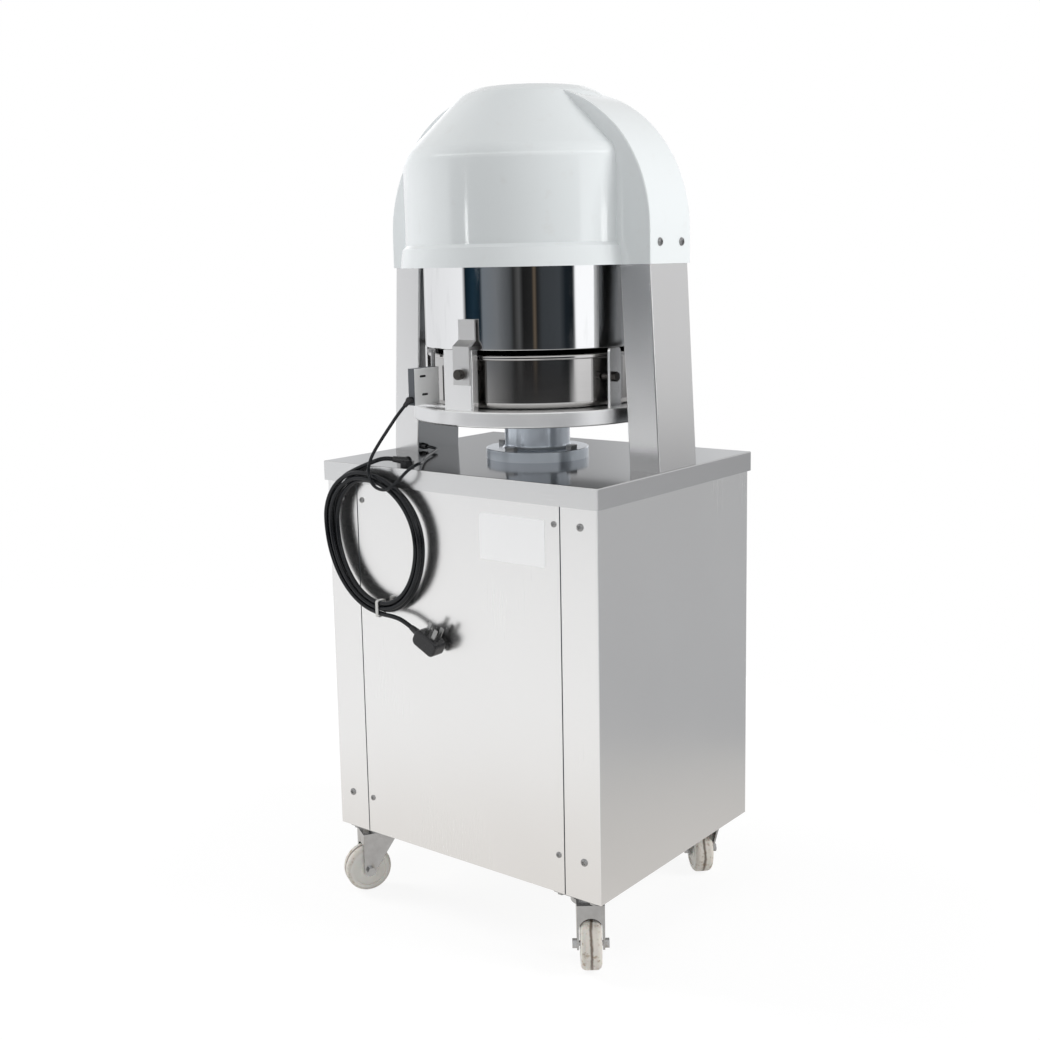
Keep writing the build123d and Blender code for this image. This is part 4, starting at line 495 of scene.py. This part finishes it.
# Plate springs: round wire wound to open coils, oiled black, riding on the ram; on the machine they shorten
# as the pads are pushed up.
SPRING_TURNS = 7
SPRING_LOW = 1007.85 * MM
SPRING_RISE = 76.3 * MM
SPRING_PLACE, SPRING_R, SPRING_WIRE = 45 * MM, 10 * MM, 1.25 * MM
SPRING_STEPS = 16


def bent_rod(name, points, radius, resolution=3):
    """Curve of one smooth line with these control points, as thick as the rod."""
    line = bpy.data.curves.new(name, "CURVE")
    line.dimensions = "3D"
    line.bevel_depth = radius
    line.bevel_resolution = resolution
    line.resolution_u = 6
    line.use_fill_caps = True
    spline = line.splines.new("NURBS")
    spline.points.add(len(points) - 1)
    for point, place in zip(spline.points, points):
        point.co = (*place, 1.0)
    spline.order_u = 3
    spline.use_endpoint_u = True
    return line


oiled, oiled_in, here = new_finish("oiled_spring_steel", {"Metallic": 1.0})
here.feed(oiled_in["Base Color"], tint(noise(here, (300.0, 300.0, 300.0)), grey(0.14), grey(0.26)))
here.feed(oiled_in["Roughness"], 0.22 + 0.2 * noise(here, (500.0, 500.0, 500.0)))
gathered = bmesh.new()
for quarter in range(4):
    about = math.radians(45 + 90 * quarter)
    winding = []
    for step in range(SPRING_STEPS * SPRING_TURNS + 1):
        phase = 2 * math.pi * step / SPRING_STEPS
        winding.append((SPRING_PLACE * math.cos(about) + SPRING_R * math.cos(phase),
                        SPRING_PLACE * math.sin(about) + SPRING_R * math.sin(phase),
                        SPRING_LOW + SPRING_RISE * step / (SPRING_STEPS * SPRING_TURNS)))
    rod = bpy.data.objects.new("winding", bent_rod("winding", winding, SPRING_WIRE, 2))
    coil_mesh = bpy.data.meshes.new_from_object(rod)
    gathered.from_mesh(coil_mesh)
    bpy.data.objects.remove(rod)
    bpy.data.meshes.remove(coil_mesh)
spring_mesh = bpy.data.meshes.new("wound_springs")
gathered.to_mesh(spring_mesh)
gathered.free()
for face in spring_mesh.polygons:
    face.use_smooth = True
springs = new_piece("wound_springs", spring_mesh, oiled, "ram")
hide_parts("plate_springs")
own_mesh(springs)


# Guard drum: stainless sheet rolled to a cylinder and polished to a mirror, with its bar handle.
mirror, mirror_in, here = new_finish("mirror_drum", {"Metallic": 1.0})
ripple = noise(here, (26.0, 26.0, 1.5), 2.0)
haze = between(noise(here, (60.0, 60.0, 14.0), 4.0), 0.5, 0.8)
here.feed(mirror_in["Base Color"], tint(haze, grey(0.80), grey(0.74)))
here.feed(mirror_in["Roughness"], 0.035 + 0.05 * haze)
here.feed(mirror_in["Normal"], relief(ripple, 0.16 * MM))
dress(mirror, "guard_drum")


# Guide finger and limit switch: a bent bar in dull stainless, and a die-cast switch housing
# whose cover on the outer side is bright; faces sunk into the cover are near black.
finger_sheet = brushed("dull_finger", (420.0, 420.0, 26.0), 0.34, 0.62)
dress(finger_sheet, "guide_finger")
die_cast, die_in, here = new_finish("die_cast_switch", {"Specular IOR Level": 0.5})
facing = here.node("TexCoord", out="Normal")
cover = between(0 - facing.node("SeparateXYZ", {}, {"Vector": facing}, out="X"), 0.7, 0.95)
depth_in = here.node("SeparateXYZ", {}, {"Vector": here}, out="X")
sunk = between(depth_in, 66.5 * MM, 67.0 * MM) * cover
pebble = noise(here, (900.0, 900.0, 900.0), 2.0)
plain = tint(cover, (0.105, 0.115, 0.130, 1), (0.91, 0.92, 0.92, 1))
here.feed(die_in["Base Color"], tint(sunk, plain, (0.015, 0.015, 0.017, 1)))
here.feed(die_in["Roughness"], 0.30 + 0.20 * pebble)
here.feed(die_in["Normal"], relief(pebble, 0.03 * MM))
dress(die_cast, "limit_switch")


# Hood: one white moulding, thick gelcoat over glass fibre, polished; faint waves show in the gloss.
gloss = {"Coat Weight": 0.6, "Coat Roughness": 0.05, "Specular IOR Level": 0.5}
gelcoat, gel_in, here = new_finish("white_gelcoat", gloss)
waves = noise(here, (9.0, 9.0, 9.0), 2.0)
peel = noise(here, (320.0, 320.0, 320.0), 2.0)
dust = between(noise(here, (40.0, 40.0, 40.0), 5.0), 0.58, 0.80)
here.feed(gel_in["Base Color"], tint(dust, (0.815, 0.852, 0.862, 1), (0.785, 0.810, 0.812, 1)))
here.feed(gel_in["Roughness"], 0.14 + 0.10 * dust)
here.feed(gel_in["Normal"], relief(waves + 0.03 * peel, 0.25 * MM))
dress(gelcoat, "hood")


# Controls on the front: moulded bezels, two green start buttons, a red stop button and a black switch.
def moulded(name, colour, rough):
    """Injection-moulded plastic with a fine pebbled skin."""
    material, sockets, here = new_finish(name, {"Specular IOR Level": 0.5})
    pebble = noise(here, (1400.0, 1400.0, 1400.0), 2.0)
    worn = between(noise(here, (90.0, 90.0, 90.0), 4.0), 0.50, 0.75)
    lighter = tuple(min(1.0, 1.35 * part + 0.02) for part in colour) + (1.0,)
    here.feed(sockets["Base Color"], tint(0.35 * pebble + 0.4 * worn, (*colour, 1.0), lighter))
    here.feed(sockets["Roughness"], rough + 0.15 * worn)
    here.feed(sockets["Normal"], relief(pebble, 0.03 * MM))
    return material


dress(moulded("green_button", (0.010, 0.235, 0.045), 0.26), "start_button_left", "start_button_right")
dress(moulded("red_button", (0.500, 0.012, 0.012), 0.26), "stop_button")
black_moulding = moulded("black_moulding", (0.006, 0.006, 0.008), 0.24)
dress(black_moulding, "main_switch", "button_bezels", "cable_glands", "plug_body")


# Power pack inside the cabinet: enamelled tank, motor and box, and two braided rubber hoses.
pack_grey = moulded("hammer_enamel", (0.10, 0.13, 0.17), 0.40)
dress(pack_grey, "oil_tank", "motor", "electrical_box")


# Power cord: black PVC flex from the gland over the table's edge into a hanging coil, tied at its foot,
# then down to a moulded plug. Points repeat the CAD route; the turns are spread where nothing ties them.
rubber, rubber_in, here = new_finish("black_flex", {"Specular IOR Level": 0.3})
bloom = noise(here, (130.0, 130.0, 130.0), 4.0)
here.feed(rubber_in["Base Color"], tint(bloom, (0.003, 0.004, 0.006, 1), (0.010, 0.012, 0.015, 1)))
here.feed(rubber_in["Roughness"], 0.14 + 0.14 * bloom)
here.feed(rubber_in["Normal"], relief(noise(here, (800.0, 800.0, 800.0), 2.0), 0.03 * MM))

CORD_D = 7.0 * MM
COIL = (148.0, 598.0)
COIL_PLACES = (((16.0, 111.5), 8.2, (0, -1)), ((102.0, 27.0), 10.5, (-1, 0)),
               ((-15.0, -111.5), 7.9, (0, 1)), ((-105.0, 2.0), 7.9, (1, 0)))
COIL_TURNS = 4.5
COIL_Y, COIL_LAYER = 221.5, 7.7
TURN_POINTS = 20


def coil_corner(quarter):
    """Where the coil passes its top, +X side, foot or -X side, a little further in with each turn."""
    (x, z), pitch, inward = COIL_PLACES[quarter % 4]
    inset = pitch * min(quarter / 4, COIL_TURNS - quarter / 4)
    return COIL[0] + x + inset * inward[0], COIL[1] + z + inset * inward[1]


def coil_point(turn):
    """Point of the coil, on a quarter of an ellipse between two corners; it climbs to the outer layer."""
    quarter = min(int(4 * turn), int(4 * COIL_TURNS) - 1)
    share = (4 * turn - quarter) * math.pi / 2
    (x0, z0), (x1, z1) = coil_corner(quarter), coil_corner(quarter + 1)
    if quarter % 2 == 0:
        x, z = x0 + (x1 - x0) * math.sin(share), z1 + (z0 - z1) * math.cos(share)
    else:
        x, z = x1 + (x0 - x1) * math.cos(share), z0 + (z1 - z0) * math.sin(share)
    climb = min(max((turn - (COIL_TURNS / 2 - 0.25)) / 0.5, 0.0), 1.0)
    return x, COIL_Y + COIL_LAYER * climb, z


cord_route = [(123.02, 202.48, 725.54), (132.30, 209.84, 727.47), (147.0, 218.5, 722.5)]
cord_route += [coil_point(step / TURN_POINTS) for step in range(1, int(COIL_TURNS * TURN_POINTS) + 1)]
cord_route += [(108.0, 229.2, 486.5), (87.9, 228.5, 482.65), (71.83, 228.5, 474.55)]
cord_points = [Vector(point) * MM for point in cord_route]
power_cord = new_piece("power_cord", bent_rod("power_cord", cord_points, CORD_D / 2), rubber)
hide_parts("power_cord_lead", "power_cord_coil", "power_cord_tail")

white_tie = moulded("white_tie", (0.72, 0.72, 0.70), 0.34)
dress(white_tie, "coil_tie")


# Switch lead: thin black cable from the limit switch, in a loop before the coil and over the table
# into the foot of the upright.
LEAD_D = 5.0 * MM
lead_route = [(75.81, 223.34, 810.55), (80.63, 233.30, 798.99), (103, 230, 777), (121, 233, 754),
              (138, 235.5, 730), (143, 238, 708), (133, 238.5, 688), (112, 238.5, 682),
              (93, 238.5, 689), (80, 235, 702),
              (72, 226, 714.5), (66, 211, 723), (78, 186, 720.5), (108, 150, 718.8), (134, 112, 718.3),
              (156, 70, 718.8), (174.19, 40, 719.26), (199.15, 40, 720.54)]
lead_points = [Vector(point) * MM for point in lead_route]
switch_lead = new_piece("switch_cable", bent_rod("switch_cable", lead_points, LEAD_D / 2), rubber)
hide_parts("switch_lead")


# Oil hoses: two rubber hoses inside the left upright, from the valve block over the crown to the cylinder.
HOSE_D = 10.0 * MM
HOSES = (("low", -220.0, 10.0, 1168.0, 1156.0), ("high", -233.0, -50.0, 1246.0, 1186.0))
for name, x, y, port_z, bend_z in HOSES:
    hose_route = [(-60, y, 349), (-60, y, 439), (x, 42, 539), (x, 42, 1100), (-166, 42, bend_z),
                  (-107, 14, port_z), (-62, 14, port_z)]
    hose_points = [Vector(point) * MM for point in hose_route]
    hose = new_piece("oil_hose_" + name, bent_rod("oil_hose_" + name, hose_points, HOSE_D / 2), rubber)
    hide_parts("oil_hoses")


# Studio: pale floor, white surround with dark gaps that the polished steel mirrors,
# two soft boxes and a top light. The lamps themselves don't show in the steel.
TO_CAMERA = Vector((-0.6189, 0.7855, 0.0))
TO_RIGHT = Vector((-0.7855, -0.6189, 0.0))

floor_mesh = bpy.data.meshes.new("floor")
sweep = bmesh.new()
bmesh.ops.create_circle(sweep, cap_ends=True, segments=96, radius=2.5)
bmesh.ops.translate(sweep, vec=(1.0, 1.2, -0.0005), verts=sweep.verts)
sweep.to_mesh(floor_mesh)
sweep.free()
floor = bpy.data.objects.new("floor", floor_mesh)
bpy.context.scene.collection.objects.link(floor)
paper = bpy.data.materials.new("floor_paper")
paper.use_nodes = True
paper_nodes = paper.node_tree.nodes
paper_nodes.remove(paper_nodes["Principled BSDF"])
root = Shade(paper.node_tree)
matt = root.node("BsdfDiffuse", {}, {"Color": grey(0.82)})
seen = root.node("LightPath", out="Is Camera Ray")
glossy = root.node("LightPath", out="Is Glossy Ray")
spot = root.node("TexCoord", out="Object")
leftward = spot.node("VectorMath", {"operation": "DOT_PRODUCT"}, {0: spot, 1: -TO_RIGHT}, out="Value")
away = spot.node("VectorMath", {"operation": "LENGTH"}, {0: spot}, out="Value")
# Glossy rays see the floor's glow, a painted reflection: to the left it dims near the object as a painted
# shadow, to the right it is darker and dims away from the object, and near the object it turns warmer.
clear = between(away, 0.35, 1.2)
to_right = 0.62 - 0.12 * clear
to_left = 0.80 + 0.18 * clear
painted_floor_glow = to_right + (to_left - to_right) * between(leftward, -0.4, 0.0)
glow_tint = tint(glossy * (1 - clear), grey(1.0), (1.03, 1.0, 0.965, 1))
glow = root.node("Emission", {}, {"Color": glow_tint, "Strength": 1.10 * seen + painted_floor_glow * glossy})
fade = seen * (0.80 + 0.20 * between(away, 0.6, 1.5)) + glossy
surface = root.node("MixShader", {}, {0: fade, 1: matt, 2: glow})
root.feed(paper_nodes["Material Output"].inputs["Surface"], surface)
floor.data.materials.append(paper)

world = bpy.data.worlds.new("studio")
world.use_nodes = True
bpy.context.scene.world = world
world.node_tree.nodes.clear()
root = Shade(world.node_tree)
way = root.node("TexCoord", out="Generated")
ahead = way.node("VectorMath", {"operation": "DOT_PRODUCT"}, {0: way, 1: TO_CAMERA}, out="Value")
beside = way.node("VectorMath", {"operation": "DOT_PRODUCT"}, {0: way, 1: TO_RIGHT}, out="Value")
rise = way.node("SeparateXYZ", {}, {"Vector": way}, out="Z")
turn = beside.math("ARCTAN2", beside, ahead) / (2 * math.pi) + 0.5
LEVEL = ((-180, 0.80, 0), (-80, 1.0, 0), (-76, 0.012, 0.6), (-66, 0.03, 0.6), (-58, 0.015, 0.6),
         (-55, 0.20, 0.1), (-40, 0.19, 0.05), (-27, 0.09, 0.05), (-22, 0.02, 0), (-17, 0.09, 0),
         (-13, 0.012, 0), (-4, 0.02, 0),
         (-1, 0.11, -0.3), (1, 0.015, 0), (6, 0.05, 0.1), (24, 0.06, 0.1), (30, 0.015, 0.3), (39, 0.012, 0.3),
         (41, 1.2, 0), (61, 1.2, 0), (64, 0.008, 0.2), (93, 0.008, 0.2), (97, 0.73, -0.01),
         (125, 0.73, -0.01), (150, 0.75, 0), (180, 0.80, 0))
BELOW = ((-180, 0.80, 0), (-135, 0.95, 0), (-80, 0.97, 0), (-75, 0.60, 0), (-60, 0.52, 0), (-45, 0.30, 0),
         (-24, 0.05, 0), (34, 0.05, 0), (44, 1.1, 0), (62, 1.0, 0), (70, 0.05, 0), (88, 0.05, 0),
         (94, 0.30, 0), (125, 0.30, 0), (150, 0.60, 0), (180, 0.80, 0))
FLOOR = ((-180, 0.85, 0), (-60, 0.97, 0), (-30, 0.80, 0), (30, 0.80, 0), (50, 0.90, 0), (70, 0.75, 0),
         (90, 0.47, 0), (125, 0.46, 0), (150, 0.60, 0), (180, 0.85, 0))
ABOVE = ((-180, 0.75, 0), (-177, 0.80, 0), (-172, 1.30, 0), (-165, 1.30, 0), (-130, 0.78, 0),
         (125, 0.78, 0), (165, 1.2, 0), (172, 1.2, 0), (177, 0.75, 0), (180, 0.75, 0))


def around(table):
    """Brightness and blueness round the object, by the angle from the camera towards the right."""
    stops = []
    for angle, level, blue in table:
        stops.append((angle / 360 + 0.5, (level * (0.99 - blue), level, level * (1.02 + blue), 1.0)))
    return turn.node("ValToRGB", {"stops": stops}, {"Fac": turn})


def window(left, right, low, high, strength):
    """Small bright box between two angles and two slopes, for the glints on the hood."""
    left_edge = between(turn, left / 360 + 0.499, left / 360 + 0.502)
    right_edge = between(turn, right / 360 + 0.498, right / 360 + 0.501)
    upright = between(rise, low - 0.002, low) - between(rise, high, high + 0.006)
    return (left_edge - right_edge) * upright * strength


mirrored = tint(between(rise, -0.150, -0.112), around(FLOOR), around(BELOW))
mirrored = tint(between(rise, -0.105, -0.050), mirrored, around(LEVEL))
mirrored = tint(between(rise, 0.03, 0.12), mirrored, around(ABOVE))
mirrored = tint(between(rise, 0.20, 0.45), mirrored, grey(0.78))
glints = window(-62.5, -59.5, 0.006, 0.038, 9.0) + window(60, 86, 0.006, 0.036, 5.0)
glints = glints + window(-100, 100, 0.30, 0.42, 1.3)
added = {"data_type": "RGBA", "blend_type": "ADD"}
mirrored = mirrored.node("Mix", added, {0: 1.0, 6: mirrored, 7: glints}, out=2)
plain_light = tint(between(rise, 0.0, 0.7), grey(0.82), grey(0.22))
path_glossy = root.node("LightPath", out="Is Glossy Ray")
path_camera = root.node("LightPath", out="Is Camera Ray")
lit = tint(path_camera, tint(path_glossy, plain_light, mirrored), grey(1.0))
surround = root.node("Background", {}, {"Color": lit, "Strength": 1.0})
root.feed(world.node_tree.nodes.new("ShaderNodeOutputWorld").inputs["Surface"], surround)


def soft_box(name, angle, distance, height, size, power):
    """Area lamp round the object, at an angle from the camera towards the right, aimed at the drum."""
    lamp = bpy.data.lights.new(name, "AREA")
    lamp.shape = "RECTANGLE"
    lamp.size, lamp.size_y = size
    lamp.energy = power
    stand = bpy.data.objects.new(name, lamp)
    swing = math.radians(angle)
    heading = TO_CAMERA * math.cos(swing) + TO_RIGHT * math.sin(swing)
    stand.location = heading * distance + Vector((0, 0, height))
    stand.rotation_euler = (Vector((0, 0, 0.85)) - stand.location).to_track_quat("-Z", "Y").to_euler()
    stand.visible_glossy = False
    bpy.context.scene.collection.objects.link(stand)


soft_box("soft_box_right", 68, 3.0, 1.9, (1.2, 1.6), 46.0)
soft_box("soft_box_left", -112, 3.0, 1.9, (1.2, 1.6), 50.0)
soft_box("soft_box_top", 0, 0.6, 3.4, (1.8, 1.8), 14.0)


# Camera: where the photograph was taken from, rolled about a degree and framed with a small upward shift.
CAMERA_AT = (-1.31421, 1.71421, 1.01953)
SENSOR = 36.0
PHOTO_PX, FOCAL_PX, SHIFT_PX = 1040, 1375.64, -40.0
YAW, PITCH, ROLL = math.radians(-51.76), math.radians(9.04), math.radians(-1.14)
forward = Vector((math.cos(YAW) * math.cos(PITCH), math.sin(YAW) * math.cos(PITCH), -math.sin(PITCH)))
side = forward.cross(Vector((0, 0, 1))).normalized()
above = side.cross(forward)
right = side * math.cos(ROLL) + above * math.sin(ROLL)
up = above * math.cos(ROLL) - side * math.sin(ROLL)
camera = bpy.data.objects.new("camera", bpy.data.cameras.new("camera"))
facing_back = Matrix((right, up, -forward)).transposed().to_4x4()
camera.matrix_world = Matrix.Translation(CAMERA_AT) @ facing_back
camera.data.sensor_width = SENSOR
camera.data.lens = SENSOR * FOCAL_PX / PHOTO_PX
camera.data.shift_y = SHIFT_PX / PHOTO_PX
bpy.context.scene.collection.objects.link(camera)
bpy.context.scene.camera = camera
bpy.context.scene.view_settings.view_transform = "Standard"
